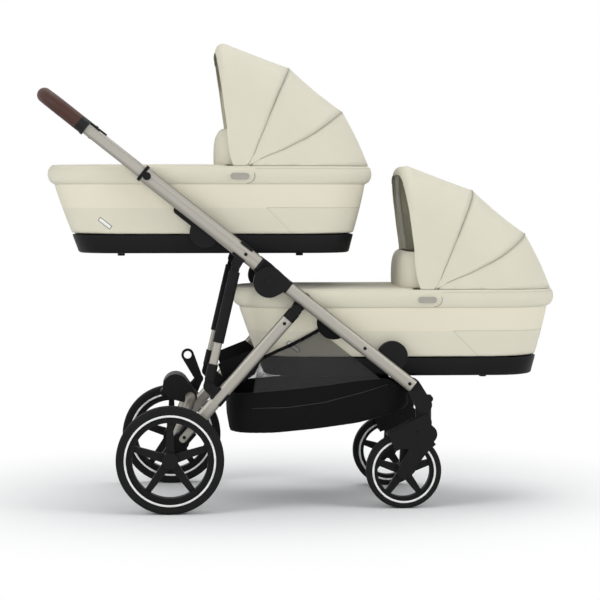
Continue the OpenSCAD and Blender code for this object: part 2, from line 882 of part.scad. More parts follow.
module rim(at, y, r, w, h, y_in, y_out, bore, bore_end) difference() {
    union() {
        slab(y - w * rim_w_share / 2, y + w * rim_w_share / 2) translate(at) difference() {
            circle(r - h);
            circle(r * rim_share);
        }
        slab(y - spoke_w / 2, y + spoke_w / 2) translate(at) for (i = [0:spoke_count - 1])
            rotate(360 / spoke_count * i) intersection() {
                link([0, 0], spoke_root_r, [0, r * rim_share], spoke_tip_r);
                circle((r - h + r * rim_share) / 2);
            }
        rod(at, wheel_hub_r, y_in, y_out);
    }
    rod(at, bore + pin_gap, y_in - overrun, bore_end);
}

module rear_tyre(left) color(black) stand() side(left)
    tyre(axle, rear_track / 2, rear_r, rear_tyre_w, rear_tyre_h);
module rear_rim(left) color(black) stand() side(left)
    rim(axle, rear_track / 2, rear_r, rear_tyre_w, rear_tyre_h,
        rear_track / 2 - rear_tyre_w / 2 - wheel_gap + gap, rear_track / 2 + rear_hub_half,
        rear_axle_r, rear_track / 2 + rear_hub_half - hub_cap);
module front_tyre(left) color(black) stand() side(left)
    tyre(front_axle, front_y, front_r, front_tyre_w, front_tyre_h);
module front_rim(left) color(black) stand() side(left)
    rim(front_axle, front_y, front_r, front_tyre_w, front_tyre_h,
        front_y - front_tyre_w / 2 - tyre_gap + gap, front_y + front_tyre_w / 2 + tyre_gap - gap,
        front_axle_r, front_y + front_tyre_w);
module rear_tyre_left() rear_tyre(true);
module rear_tyre_right() rear_tyre(false);
module rear_rim_left() rear_rim(true);
module rear_rim_right() rear_rim(false);
module front_tyre_left() front_tyre(true);
module front_tyre_right() front_tyre(false);
module front_rim_left() front_rim(true);
module front_rim_right() front_rim(false);

// Front forks: a crown under the swivel, a fender over the tyre and an arm on each side

module wedge(r, from, to) polygon([[0, 0], for (i = [0:4]) 2 * r * [cos(from + (to - from) * i / 4),
    sin(from + (to - from) * i / 4)]]);

module fork(left) {
    arm_in = front_tyre_w / 2 + tyre_gap;
    fender_r = front_r + fender_gap;
    crown = [swivel_x, seam_z - gap - swivel_r];
    color(black) stand() side(left) {
        difference() {
            union() {
                translate([swivel_x, front_y, crown[1]]) cylinder(r = swivel_r, h = swivel_r);
                translate([swivel_x, front_y, crown[1]]) cylinder(r = stem_r, h = swivel_r + gap + stem_l);
                slab(front_y - arm_in - fork_arm_t, front_y + arm_in + fork_arm_t) difference() {
                    link(crown, crown_r, front_axle + fender_r * [cos(fender_to), sin(fender_to)],
                        fender_t / 2);
                    translate(front_axle) circle(fender_r);
                }
                slab(front_y - arm_in - fork_arm_t, front_y + arm_in + fork_arm_t) translate(front_axle)
                    intersection() {
                        difference() {
                            circle(fender_r + fender_t);
                            circle(fender_r);
                        }
                        wedge(front_r, fender_from, fender_to);
                    }
                for (y = [front_y - arm_in - fork_arm_t, front_y + arm_in]) slab(y, y + fork_arm_t) {
                    link(front_axle + arm_top, arm_top_r, front_axle, fork_hub_r);
                    translate(front_axle) intersection() {
                        difference() {
                            circle(fender_r + fender_t);
                            circle(skirt_r);
                        }
                        wedge(front_r, fender_from, fender_to);
                    }
                }
            }
            rod(front_axle, front_axle_r + pin_gap, 0, 2 * front_y);
        }
        rod(front_axle, front_axle_r, front_y - arm_in - fork_arm_t, front_y + arm_in + fork_arm_t);
    }
}
module fork_left() fork(true);
module fork_right() fork(false);

// Basket: a fabric tub with mesh sides hung from the front tubes

basket_front_x = min(cross_at[0] - cross_r, swivel_x - swivel_r) - basket_clear;
basket_mid = (basket_back_x + basket_front_x) / 2;
basket_half_l = (basket_front_x - basket_back_x) / 2;
function basket_at(x, rises) = basket_floor_z + lookup((x - basket_back_x) / (2 * basket_half_l),
    [for (i = [0:len(rises) - 1]) [basket_shares[i], rises[i]]]);
function basket_half_ring(inset, draw) = let (
    turn = ring(basket_mid, basket_half_l - inset, basket_half_w - inset - draw, basket_corner - inset, 0),
    ahead = turn[corner_steps],
    behind = turn[corner_steps + 1]
) [
    for (j = [0:corner_steps]) turn[j],
    for (share = side_shares) ahead + share * (behind - ahead),
    for (j = [0:corner_steps]) turn[corner_steps + 1 + j]
];
function basket_ring(inset, draw, rises, lift) = let (
    half = basket_half_ring(inset, draw),
    last = len(half) - 1
) [
    for (p = half) [p[0], p[1], basket_at(p[0], rises) + lift],
    for (j = [0:last]) let (p = half[last - j]) [p[0], -p[1], basket_at(p[0], rises) + lift]
];

module basket_tub() color(black) stand() skin([
    basket_ring(basket_draw, basket_draw, floor_rises, 0),
    basket_ring(0, 0, floor_rises, basket_draw),
    basket_ring(0, 0, wall_rises, 0),
    basket_ring(basket_wall, 0, wall_rises, 0),
    basket_ring(basket_wall, 0, floor_rises, basket_draw),
    basket_ring(basket_draw + basket_wall, basket_draw, floor_rises, basket_wall)
]);

module basket_panels() {
    corner = [basket_back_x, basket_floor_z];
    half = basket_half_ring(0, 0);
    foot = [
        for (j = [corner_steps + 1:corner_steps + 1 + len(side_shares)])
            [half[j][0], basket_at(half[j][0], wall_rises) + gap]
    ];
    strap = [for (p = strap_points) corner + p];
    top = strap[len(strap) - 1];
    y_in = basket_half_w - panel_t;
    color(mesh_grey) stand() both() {
        slab(y_in, basket_half_w) polygon(concat(strap, foot));
        slab(y_in - gap, basket_half_w + gap) for (i = [1:len(strap) - 1])
            link(strap[i - 1], strap_w / 2, strap[i], strap_w / 2);
        slab(y_in - patch_t, basket_half_w + patch_t) polygon([for (p = patch_points) corner + p]);
        slab(y_in, frame_y - front_wide / 2) link(top, strap_w / 2, line(tab_along), tab_r);
    }
}

// Cots

module at_hub(hub) stand() translate([hub[0], 0, hub[1]]) children();

module cot_shell(hub) color(linen) at_hub(hub) skin([
    ring(tray_mid, tray_half_l, tray_half_w, cot_corner - rim_out, tray_top),
    ring(cot_mid, wall_half_l, wall_half_w, cot_corner - rim_out / 2, rim_foot),
    ring(cot_mid, rim_half_l - rim_out / 4, rim_half_w - rim_out / 4, cot_corner, rim_foot + rim_h / 8),
    ring(cot_mid, rim_half_l, rim_half_w, cot_corner, rim_foot + rim_h / 2),
    ring(cot_mid, rim_half_l - rim_out / 6, rim_half_w - rim_out / 6, cot_corner, rim_top - rim_h / 8),
    ring(cot_mid, rim_half_l - rim_out / 2, rim_half_w - rim_out / 4, cot_corner, rim_top),
    ring(cot_mid, rim_half_l - rim_out - rim_wall, rim_half_w - rim_wall, cot_corner - rim_wall, rim_top),
    ring(cot_mid, wall_half_l - cot_wall, wall_half_w - cot_wall, cot_corner - rim_out - cot_wall, rim_foot),
    ring(tray_mid, tray_half_l - cot_wall, tray_half_w - cot_wall, cot_corner - rim_out - cot_wall,
        tray_top + cot_floor)
]);

module cot_base(hub, lift) color(black) at_hub(hub) difference() {
    union() {
        skin([
            for (turn = [0:30:90]) let (inset = base_round * (1 - sin(turn)))
                ring(tray_mid + base_lean, foot_half_l - inset, foot_half_w - inset,
                    cot_corner - 2 * rim_out - inset, tray_foot + base_round * (1 - cos(turn))),
            ring(tray_mid, tray_half_l, tray_half_w, cot_corner - rim_out, tray_top),
            ring(tray_mid, tray_half_l - tray_wall, tray_half_w - tray_wall,
                cot_corner - rim_out - tray_wall, tray_top),
            ring(tray_mid + base_lean, foot_half_l - base_round, foot_half_w - base_round,
                cot_corner - 2 * rim_out - base_round, tray_foot + tray_wall)
        ]);
        both() slab(hub_in, hub_out) circle(hub_r);
        both() slab(tray_half_w - hub_root, hub_in + overrun) intersection() {
            circle(hub_r - overrun);
            translate([-hub_r, -hub_r]) square([2 * hub_r, hub_r + tray_top]);
        }
        for (x = [-foot_x, foot_x], y = [-foot_y, foot_y]) translate([cot_mid + x, y, tray_foot - foot_h])
            cylinder(r = foot_r, h = foot_h + tray_wall / 2);
    }
    both() translate([0, hub_out - tongue_in, 0]) rotate([0, -lift, 0])
        translate([-2 * hub_r, 0, -tongue_w / 2 - gap])
            cube([2 * hub_r + tongue_l / 2 + gap, 2 * tongue_in, tongue_w + 2 * gap]);
}

module mattress(hub) {
    foot = tray_top + cot_floor + gap;
    half_l = tray_half_l - cot_wall - mattress_room;
    half_w = tray_half_w - cot_wall - mattress_room;
    corner = cot_corner - rim_out - cot_wall - mattress_room;
    color(cotton) at_hub(hub) skin([
        ring(tray_mid, half_l - mattress_room, half_w - mattress_room, corner - mattress_room, foot),
        ring(tray_mid, half_l, half_w, corner, foot + mattress_h / 4),
        ring(tray_mid, half_l, half_w, corner, foot + mattress_h * 3 / 4),
        ring(tray_mid, half_l - mattress_room, half_w - mattress_room, corner - mattress_room,
            foot + mattress_h),
        ring(tray_mid, half_l * 3 / 4, half_w * 3 / 4, corner * 3 / 4, foot + mattress_h + mattress_crown)
    ]);
}

// The apron lies over the foot end; the wind flap stands at its edge
module apron(hub) {
    z = rim_top + gap;
    back = cot_mid - rim_half_l + rim_out / 2;
    half_l = (flap_x + apron_end - back) / 2;
    mid = back + half_l;
    half_w = rim_half_w - rim_out / 2;
    corner = cot_corner - rim_out / 4;
    flap_l = flap_back_x - flap_x;
    color(linen) at_hub(hub) {
        skin([
            ring(mid, half_l, half_w, corner, z, apron_nose),
            ring(mid, half_l, half_w, corner, z + apron_h / 2, apron_nose),
            ring(mid, half_l - apron_h / 2, half_w - apron_h / 2, corner, z + apron_h, apron_nose),
            ring(mid, half_l * 3 / 4, half_w * 3 / 4, corner * 3 / 4, z + apron_h + apron_crown, apron_nose)
        ]);
        translate([flap_x + flap_l, 0, z + apron_h / 2])
            linear_extrude(flap_h - apron_h / 2 - gap) difference() {
                bow_outline(flap_half_w, flap_l, flap_corner);
                bow_outline(flap_half_w - flap_t, flap_l - flap_t, flap_corner - flap_t);
                translate([0, -rim_half_w]) square([rim_half_w, 2 * rim_half_w]);
            }
    }
}

// An arch outline that reaches back from zero by reach, with round corners
module bow_outline(half, reach, corner) {
    translate([corner - reach, -half]) square([reach - corner, 2 * half]);
    translate([-reach, corner - half]) square([2 * corner, 2 * (half - corner)]);
    for (end = [-1, 1]) translate([corner - reach, end * (half - corner)]) circle(corner);
}

// A canopy bow: a flat strip bent to an arch, with an eye at each end on the pivot
module bow(hub, turn, reach, layer) {
    half = bow_side - layer * bow_step;
    r = reach - canopy_t - bow_drop;
    color(black) at_hub(hub) translate([canopy_x, 0, canopy_z]) rotate([0, -turn, 0]) difference() {
        union() {
            translate([0, 0, -bow_w / 2]) linear_extrude(bow_w) difference() {
                mirror([1, 0]) bow_outline(half, r, bow_corner);
                mirror([1, 0]) bow_outline(half - bow_t, r - bow_t, bow_corner - bow_t);
                translate([-2 * reach, -reach]) square([2 * reach, 2 * reach]);
            }
            both() slab(half - bow_t, half) circle(bow_eye_r);
        }
        both() rod([0, 0], bow_pin_r + pin_gap, half - bow_t - overrun, half + overrun);
    }
}

// Plates on the rim that carry the canopy's pivot pins
module canopy_pivots(hub) color(plate_grey) at_hub(hub) both() {
    inside = lookup(canopy_z - bow_pin_r,
        [[rim_foot, wall_half_w - cot_wall], [rim_top, rim_half_w - rim_wall]]);
    translate([canopy_x, 0, canopy_z]) {
        slab(rim_half_w + gap, rim_half_w + gap + pill_t)
            link([(pill_h - pill_l) / 2, 0], pill_h / 2, [(pill_l - pill_h) / 2, 0], pill_h / 2);
        rod([0, 0], bow_pin_r, bow_side - 3 * bow_step, inside - gap);
    }
}

// Canopy fabric: arches of points at each bow, joined front to back
function canopy_arch(turn, reach, inset) = let (
    half = canopy_half_w - inset,
    corner = bow_corner,
    low = (rim_top + canopy_lift - canopy_z) / sin(turn),
    r = reach - inset
) [
    for (p = [
        [half, low],
        for (i = [0:arc_steps]) let (a = 90 * i / arc_steps)
            [half - corner + corner * cos(a), r - corner + corner * sin(a)],
        for (i = [arc_steps:-1:0]) let (a = 90 * i / arc_steps)
            [corner - half - corner * cos(a), r - corner + corner * sin(a)],
        [-half, low]
    ]) [canopy_x + p[1] * cos(turn), p[0], canopy_z + p[1] * sin(turn)]
];
function canopy_hem(inset) = let (
    z = rim_top + canopy_lift,
    start = canopy_x + bow_corner / 2,
    end = cot_mid + rim_half_l - canopy_end_inset - inset,
    half = canopy_half_w - inset,
    corner = bow_corner
) [
    [start, half, z + 2 * canopy_lift],
    for (i = [0:arc_steps]) let (a = 90 * i / arc_steps)
        [end - corner + corner * sin(a), half - corner + corner * cos(a), z],
    for (i = [arc_steps:-1:0]) let (a = 90 * i / arc_steps)
        [end - corner + corner * sin(a), corner - half - corner * cos(a), z],
    [start, -half, z + 2 * canopy_lift]
];
function canopy_rows(inset) = let (back = atan(inset / bow_front_r)) [
    canopy_arch(bow_front_a + roll_turn + roll_lean - back, bow_front_r - roll_low, inset),
    canopy_arch(bow_front_a + roll_turn - back, bow_front_r - roll_front, inset),
    canopy_arch(bow_front_a - roll_turn, bow_front_r + roll_up, inset),
    canopy_arch(bow_front_a - 5 * roll_turn, bow_front_r - roll_front, inset),
    canopy_arch(bow_mid_a, bow_mid_r, inset),
    canopy_arch(bow_rear_a, bow_rear_r, inset),
    canopy_hem(inset)
];

// Two sheets of points, one inside the other, joined round their edges
module sheet(outer, inner) {
    rows = len(outer);
    n = len(outer[0]);
    size = rows * n;
    edge = concat(
        [for (j = [0:n - 1]) j],
        [for (i = [1:rows - 1]) i * n + n - 1],
        [for (j = [n - 2:-1:0]) (rows - 1) * n + j],
        [for (i = [rows - 2:-1:1]) i * n]
    );
    polyhedron(
        points = concat([for (row = outer) each row], [for (row = inner) each row]),
        faces = [
            for (i = [0:rows - 2], j = [0:n - 2]) let (a = i * n + j, b = a + n) each [
                [a, a + 1, b + 1], [a, b + 1, b],
                [size + a, size + b + 1, size + a + 1], [size + a, size + b, size + b + 1]
            ],
            for (e = [0:len(edge) - 1]) let (a = edge[e], b = edge[(e + 1) % len(edge)]) each [
                [a, size + a, size + b], [a, size + b, b]
            ]
        ],
        convexity = 6
    );
}

module canopy(hub) color(linen) at_hub(hub) sheet(canopy_rows(0), canopy_rows(canopy_t));

module upper_cot_shell() cot_shell(upper_hub);
module upper_cot_base() cot_base(upper_hub, upper_lift);
module upper_mattress() mattress(upper_hub);
module upper_apron() apron(upper_hub);
module upper_canopy_pivots() canopy_pivots(upper_hub);
module upper_bow_front() bow(upper_hub, bow_front_a, bow_front_r, 0);
module upper_bow_mid() bow(upper_hub, bow_mid_a, bow_mid_r, 1);
module upper_bow_rear() bow(upper_hub, bow_rear_a, bow_rear_r, 2);
module upper_canopy() canopy(upper_hub);
module front_cot_shell() cot_shell(front_hub);
module front_cot_base() cot_base(front_hub, front_lift);
module front_mattress() mattress(front_hub);
module front_apron() apron(front_hub);
module front_canopy_pivots() canopy_pivots(front_hub);
module front_bow_front() bow(front_hub, bow_front_a, bow_front_r, 0);
module front_bow_mid() bow(front_hub, bow_mid_a, bow_mid_r, 1);
module front_bow_rear() bow(front_hub, bow_rear_a, bow_rear_r, 2);
module front_canopy() canopy(front_hub);

front_tubes();
front_crossbar();
front_elbows();
fold_hinge_lower();
leg_brackets();
front_adapters();
hinge_pins();
basket_tub();
basket_panels();
upper_tubes();
tube_collars();
fold_hinge_upper();
upper_adapters();
strut_brackets();
handle_bar();
handle_grip();
handle_button_left();
handle_button_right();
leg_tubes();
leg_sleeves();
strut_sockets();
rear_arch();
wheel_carriers();
rear_axles();
brake_housing();
brake_pedal();
release_lever();
strut_outer();
strut_inner();
strut_clevis();
fork_left();
fork_right();
front_tyre_left();
front_rim_left();
front_tyre_right();
front_rim_right();
rear_tyre_left();
rear_rim_left();
rear_tyre_right();
rear_rim_right();
upper_cot_shell();
upper_cot_base();
upper_mattress();
upper_apron();
upper_canopy_pivots();
upper_bow_front();
upper_bow_mid();
upper_bow_rear();
upper_canopy();
front_cot_shell();
front_cot_base();
front_mattress();
front_apron();
front_canopy_pivots();
front_bow_front();
front_bow_mid();
front_bow_rear();
front_canopy();
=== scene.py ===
"""Dresses the tandem pram's frame with its fabric, finishes and a plain studio."""

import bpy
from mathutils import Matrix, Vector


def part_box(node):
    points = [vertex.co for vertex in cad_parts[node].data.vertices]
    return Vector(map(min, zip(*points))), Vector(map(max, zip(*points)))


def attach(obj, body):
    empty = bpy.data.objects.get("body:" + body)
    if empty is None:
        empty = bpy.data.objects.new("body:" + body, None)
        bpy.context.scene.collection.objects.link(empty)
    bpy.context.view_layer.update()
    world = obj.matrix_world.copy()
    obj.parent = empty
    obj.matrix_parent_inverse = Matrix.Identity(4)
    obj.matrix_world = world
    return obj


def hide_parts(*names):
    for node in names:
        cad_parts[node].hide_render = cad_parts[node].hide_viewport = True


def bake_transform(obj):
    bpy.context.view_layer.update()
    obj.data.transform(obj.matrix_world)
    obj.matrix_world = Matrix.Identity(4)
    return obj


bl_info = {
    "name": "Tandem Pram",
    "version": (1, 0, 0),
    "blender": (4, 5, 0),
    "location": "View3D > Sidebar > Pram",
    "description": "Dresses a tandem pram with two carry-cots, a basket and a studio",
    "category": "Object",
}

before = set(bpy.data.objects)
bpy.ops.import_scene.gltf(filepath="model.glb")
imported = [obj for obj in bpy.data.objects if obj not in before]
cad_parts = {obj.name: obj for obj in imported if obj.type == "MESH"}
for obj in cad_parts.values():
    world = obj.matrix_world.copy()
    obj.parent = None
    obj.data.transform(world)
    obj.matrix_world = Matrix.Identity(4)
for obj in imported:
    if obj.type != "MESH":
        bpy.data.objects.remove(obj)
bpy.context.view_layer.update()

from math import atan2, cos, degrees, pi, radians, sin

import bmesh
import bpy
from mathutils import Matrix, Vector

COTS = ("upper", "front")
SIDES = {"left": 1, "right": -1}
MERGE = 0.00001

# Middle lines of the tubes and of the rear legs
TUBE_LEAN = radians(38.4)
TUBE_START = Vector((-0.0774, 0, 0.6351))
LEG_TOP = Vector((-0.0166, 0, 0.5429))
LEG_LEAN = radians(131.42)


def colour(name, description, default):
    return bpy.props.FloatVectorProperty(
        name=name, description=description, default=default, subtype="COLOR", size=3, min=0, max=1
    )


def length(name, description, default):
    return bpy.props.FloatProperty(
        name=name, description=description, default=default, min=0, unit="LENGTH", precision=4
    )


class PramColours(bpy.types.PropertyGroup):
    """Colours of the pram's materials."""

    fabric: colour("Fabric", "Outside of the cots and canopies", (0.655, 0.625, 0.505))
    band: colour("Band", "Upper band of the cots' walls", (0.75, 0.71, 0.56))
    lining: colour("Lining", "Inside of the cots", (0.74, 0.73, 0.68))
    cotton: colour("Mattress", "Mattress cover", (0.80, 0.79, 0.76))
    seam: colour("Seam", "Seams of the fabric", (0.34, 0.31, 0.24))
    trim: colour("Trim", "Dark edging and stitched borders", (0.05, 0.048, 0.045))
    alloy: colour("Tubes", "Anodised tubes", (0.31, 0.295, 0.262))
    steel: colour("Pins", "Pins, axles and bolts", (0.55, 0.55, 0.55))
    plastic: colour("Plastic", "Black moulded pieces", (0.007, 0.007, 0.0075))
    plate: colour("Plates", "Pill plates at the canopy pivots", (0.33, 0.32, 0.28))
    leather: colour("Grip", "Sewn cover of the handle", (0.058, 0.025, 0.019))
    rubber: colour("Tyres", "Tyres", (0.010, 0.010, 0.010))
    stripe: colour("Stripe", "Pale ring on the wheels", (0.78, 0.78, 0.76))
    basket: colour("Basket", "Basket tub and straps", (0.006, 0.006, 0.0063))
    mesh: colour("Mesh", "Basket sides", (0.022, 0.022, 0.022))


class PramSizes(bpy.types.PropertyGroup):
    """Sizes of the pieces made here."""

    weave: length("Weave", "Spacing of the fabric's threads", 0.0011)
    cloth: length("Cloth", "Thickness of the canopy's fabric", 0.0016)
    slack: length("Slack", "How far the canopy dips between its bows", 0.004)
    seam: length("Seam", "Radius of the sewn seams", 0.0006)
    groove: length("Groove", "Depth of the seams in the cot walls", 0.0012)
    stripe: length("Stripe", "Width of the pale ring on the wheels", 0.0053)
    bolt: length("Bolt", "Radius of the bolt heads", 0.0048)
    cuff: length("Cuff", "Length of the black cuff at each end of the grip", 0.027)
    hole: length("Mesh hole", "Spacing of the holes in the mesh", 0.0026)


def colours():
    return bpy.context.scene.pram_colours


def sizes():
    return bpy.context.scene.pram_sizes


# Materials

# Depth of each finish's relief
CLOTH_RELIEF = 0.00012
PLASTIC_RELIEF = 0.00006
ALLOY_RELIEF = 0.00003
LEATHER_RELIEF = RUBBER_RELIEF = NET_RELIEF = 0.0001

# Scales of the noise in each finish, from fine to broad
CLOTH_SCALES = (900, 40, 7)
PLASTIC_SCALES = (2600, 30, 14)
ALLOY_SCALES = (60, 9)
LEATHER_SCALES = (620, 60, 35)
RUBBER_SCALES = (1400, 80, 22)
NET_SCALES = (400, 60)

CROSSING = 0.7
BRUSHED = (1, 14, 14)
CUFF_SOFT = 0.0004
SEAM_DEPTH = 6
NET_TURN = radians(30)
NET_THREAD, NET_SOFT = 0.5, 0.1


class Wire:
    """A shader socket that arithmetic can be written with."""

    def __init__(self, graph, socket):
        self.graph = graph
        self.socket = socket

    def math(self, operation, other=None, swap=False):
        pair = (self,) if other is None else (other, self) if swap else (self, other)
        return self.graph.node("ShaderNodeMath", {"operation": operation}, dict(enumerate(pair)))

    def __add__(self, other):
        return self.math("ADD", other)

    def __sub__(self, other):
        return self.math("SUBTRACT", other)

    def __rsub__(self, other):
        return self.math("SUBTRACT", other, True)

    def __mul__(self, other):
        return self.math("MULTIPLY", other)

    def wave(self, spacing):
        """A sine of one turn per spacing."""
        return (self * (2 * pi / spacing)).math("SINE")

    def above(self, edge, soft):
        """0 below the edge and 1 above it."""
        inputs = {"Value": self, "From Min": edge - soft, "From Max": edge + soft}
        settings = {"interpolation_type": "SMOOTHSTEP"}
        return self.graph.node("ShaderNodeMapRange", settings, inputs)

    def near(self, at, half, soft):
        """1 within half of a value and 0 away from it."""
        return 1 - (self - at).math("ABSOLUTE").above(half, soft)


class Graph:
    """A tree of shader nodes."""

    def __init__(self, tree):
        self.tree = tree

    def node(self, kind, settings=None, inputs=None, output=0):
        made = self.tree.nodes.new(kind)
        for key, value in (settings or {}).items():
            setattr(made, key, value)
        for key, value in (inputs or {}).items():
            self.join(value, made.inputs[key])
        return Wire(self, made.outputs[output])

    def join(self, value, socket):
        if isinstance(value, Wire):
            self.tree.links.new(value.socket, socket)
        else:
            socket.default_value = value

    def place(self, turn=0.0, stretch=(1, 1, 1)):
        """Object coordinates, turned about Y and stretched."""
        point = self.node("ShaderNodeTexCoord", output="Object")
        if turn:
            inputs = {"Vector": point, "Rotation": (0, turn, 0)}
            point = self.node("ShaderNodeMapping", None, inputs)
        if stretch != (1, 1, 1):
            inputs = {"Vector": point, "Scale": stretch}
            point = self.node("ShaderNodeMapping", None, inputs)
        return point

    def axes(self, turn=0.0):
        split = self.node("ShaderNodeSeparateXYZ", None, {"Vector": self.place(turn)}).socket.node
        return [Wire(self, socket) for socket in split.outputs]

    def noise(self, scale, detail=2.0, turn=0.0, stretch=(1, 1, 1)):
        inputs = {"Vector": self.place(turn, stretch), "Scale": scale, "Detail": detail}
        return self.node("ShaderNodeTexNoise", None, inputs)

    def cells(self, scale):
        return self.node("ShaderNodeTexVoronoi", None, {"Vector": self.place(), "Scale": scale})

    def mix(self, share, first, second):
        return self.node("ShaderNodeMix", {"data_type": "RGBA"}, {0: share, 6: first, 7: second}, 2)

    def shades(self, base, share, spread):
        """The base colour, varied to either side by a share from 0 to 1."""
        dark = [value * (1 - spread) for value in base] + [1]
        light = [min(1, value * (1 + spread)) for value in base] + [1]
        return self.mix(share, dark, light)


class Paint(Graph):
    """A procedural material round one Principled shader."""

    def __init__(self, name, **constants):
        self.material = bpy.data.materials.new(name)
        self.material.use_nodes = True
        super().__init__(self.material.node_tree)
        self.shader = self.tree.nodes["Principled BSDF"]
        for key, value in constants.items():
            label = key.replace("_", " ").title().replace("Ior", "IOR")
            self.shader.inputs[label].default_value = value

    def finish(self, tone, roughness, height, depth):
        inputs = {"Strength": 1.0, "Distance": depth, "Height": height}
        bump = self.node("ShaderNodeBump", None, inputs)
        for key, value in (("Base Color", tone), ("Roughness", roughness), ("Normal", bump)):
            self.join(value, self.shader.inputs[key])
        return self.material


def weave(paint, spacing):
    """Height of crossed threads, on any side of a cot."""
    x, y, z = paint.axes()
    return (x + y * CROSSING).wave(spacing) * (z + y * CROSSING).wave(spacing)


def cloth_material(name, base, spacing, spread=0.07, shine=0.25, dress=None):
    """Woven fabric with flecked threads; dress may sew lines into it and print on it."""
    paint = Paint(name, sheen_weight=shine / 2, sheen_roughness=0.6, specular_ior_level=shine)
    fine, middling, broad = CLOTH_SCALES
    height = weave(paint, spacing)
    fleck = paint.noise(fine, 1) * 0.6 + paint.noise(broad, 3) * 0.4
    tone = paint.shades(base, fleck, spread)
    if dress:
        tone, pressed = dress(paint, tone)
        height = height - pressed * SEAM_DEPTH
    return paint.finish(tone, paint.noise(middling) * 0.1 + 0.8, height, CLOTH_RELIEF)


def plastic_material(name, base, rough=0.42):
    paint = Paint(name, specular_ior_level=0.1)
    fine, middling, broad = PLASTIC_SCALES
    grain = paint.noise(fine, 1)
    tone = paint.shades(base, paint.noise(broad, 3), 0.14)
    return paint.finish(tone, paint.noise(middling) * 0.12 + rough, grain, PLASTIC_RELIEF)


def alloy_material(name, base, turn, rough=0.42):
    """Satin metal, brushed along the tube."""
    paint = Paint(name, metallic=0.85)
    fine, broad = ALLOY_SCALES
    brushed = paint.noise(fine, 2, turn, BRUSHED)
    tone = paint.shades(base, brushed * 0.5 + paint.noise(broad) * 0.5, 0.07)
    return paint.finish(tone, brushed * 0.1 + rough, brushed, ALLOY_RELIEF)


def leather_material(name, base):
    """Grained leather, with a black cuff at the lower end of each side."""
    paint = Paint(name, specular_ior_level=0.2)
    fine, middling, broad = LEATHER_SCALES
    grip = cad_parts["handle_grip"].data.vertices
    x, y, z = paint.axes()
    end = max(v.co.x * cos(TUBE_LEAN) - v.co.z * sin(TUBE_LEAN) for v in grip)
    cuff = (x * cos(TUBE_LEAN) - z * sin(TUBE_LEAN)).above(end - sizes().cuff, CUFF_SOFT)
    tone = paint.shades(base, paint.noise(broad, 4), 0.3)
    tone = paint.mix(cuff, tone, [*colours().plastic, 1])
    roughness = paint.noise(middling) * 0.15 + 0.42
    return paint.finish(tone, roughness, paint.cells(fine), LEATHER_RELIEF)


def rubber_material(name, base):
    paint = Paint(name, specular_ior_level=0.1)
    fine, middling, broad = RUBBER_SCALES
    tone = paint.shades(base, paint.noise(broad, 4), 0.25)
    roughness = paint.noise(middling) * 0.1 + 0.68
    return paint.finish(tone, roughness, paint.noise(fine, 1), RUBBER_RELIEF)


def mesh_material(name, base, spacing):
    """An open net: the holes are clear."""
    paint = Paint(name)
    fine, broad = NET_SCALES
    x, y, z = paint.axes(NET_TURN)
    waves = [axis.wave(spacing * 2).math("ABSOLUTE") for axis in (x, z)]
    gap_x, gap_z = [wave.above(NET_THREAD, NET_SOFT) for wave in waves]
    holes = gap_x * gap_z
    tone = paint.shades(base, paint.noise(fine, 1), 0.15)
    made = paint.finish(tone, paint.noise(broad) * 0.1 + 0.7, holes, NET_RELIEF)
    paint.join(1 - holes, paint.shader.inputs["Alpha"])
    return made


def material(name):
    """A material by its name, made on first use."""
    found = bpy.data.materials.get(name)
    if found:
        return found
    c = colours()
    makers = {
        "cot_cloth": lambda: cloth_material(name, c.fabric, sizes().weave),
        "lining_cloth": lambda: cloth_material(name, c.lining, sizes().weave * 1.5),
        "mattress_cloth": lambda: cloth_material(name, c.cotton, sizes().weave * 2),
        "basket_cloth": lambda: cloth_material(name, c.basket, sizes().weave * 1.6, 0.3, 0.05),
        "seam_thread": lambda: cloth_material(name, c.seam, sizes().weave),
        "plastic": lambda: plastic_material(name, c.plastic),
        "trim_thread": lambda: cloth_material(name, c.trim, sizes().weave, 0.2, 0.05),
        "plate": lambda: plastic_material(name, c.plate, 0.3),
        "stripe": lambda: plastic_material(name, c.stripe, 0.4),
        "steel": lambda: alloy_material(name, c.steel, 0.0, 0.25),
        "leather": lambda: leather_material(name, c.leather),
        "rubber": lambda: rubber_material(name, c.rubber),
        "mesh": lambda: mesh_material(name, c.mesh, sizes().hole),
    }
    return makers[name]()


def tube_material(along):
    """Brushed metal for a tube that leans by that many degrees below the X axis."""
    name = f"alloy_{round(along) % 360}"
    return bpy.data.materials.get(name) or alloy_material(name, colours().alloy, radians(-along))


# Shapes

def new_piece(name, bm, paint, body, slot, nodes=(), levels=0):
    """An object from a bmesh, riding on a body and standing for CAD nodes."""
    bmesh.ops.remove_doubles(bm, verts=bm.verts, dist=MERGE)
    bmesh.ops.recalc_face_normals(bm, faces=bm.faces)
    mesh = bpy.data.meshes.new(name)
    bm.to_mesh(mesh)
    bm.free()
    mesh.shade_smooth()
    piece = bpy.data.objects.new(name, mesh)
    bpy.context.scene.collection.objects.link(piece)
    mesh.materials.append(paint)
    if nodes:
        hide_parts(*nodes)
    if levels:
        subdivide(piece, levels)
    if body:
        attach(piece, body)
    return piece


def subdivide(piece, levels):
    smooth = piece.modifiers.new("Smooth", "SUBSURF")
    smooth.levels = levels
    smooth.render_levels = levels


def new_edges(made):
    """The verts that an extrusion made and the edges between them."""
    verts = {part for part in made["geom"] if isinstance(part, bmesh.types.BMVert)}
    edges = [part for part in made["geom"] if isinstance(part, bmesh.types.BMEdge)]
    return list(verts), [edge for edge in edges if verts.issuperset(edge.verts)]


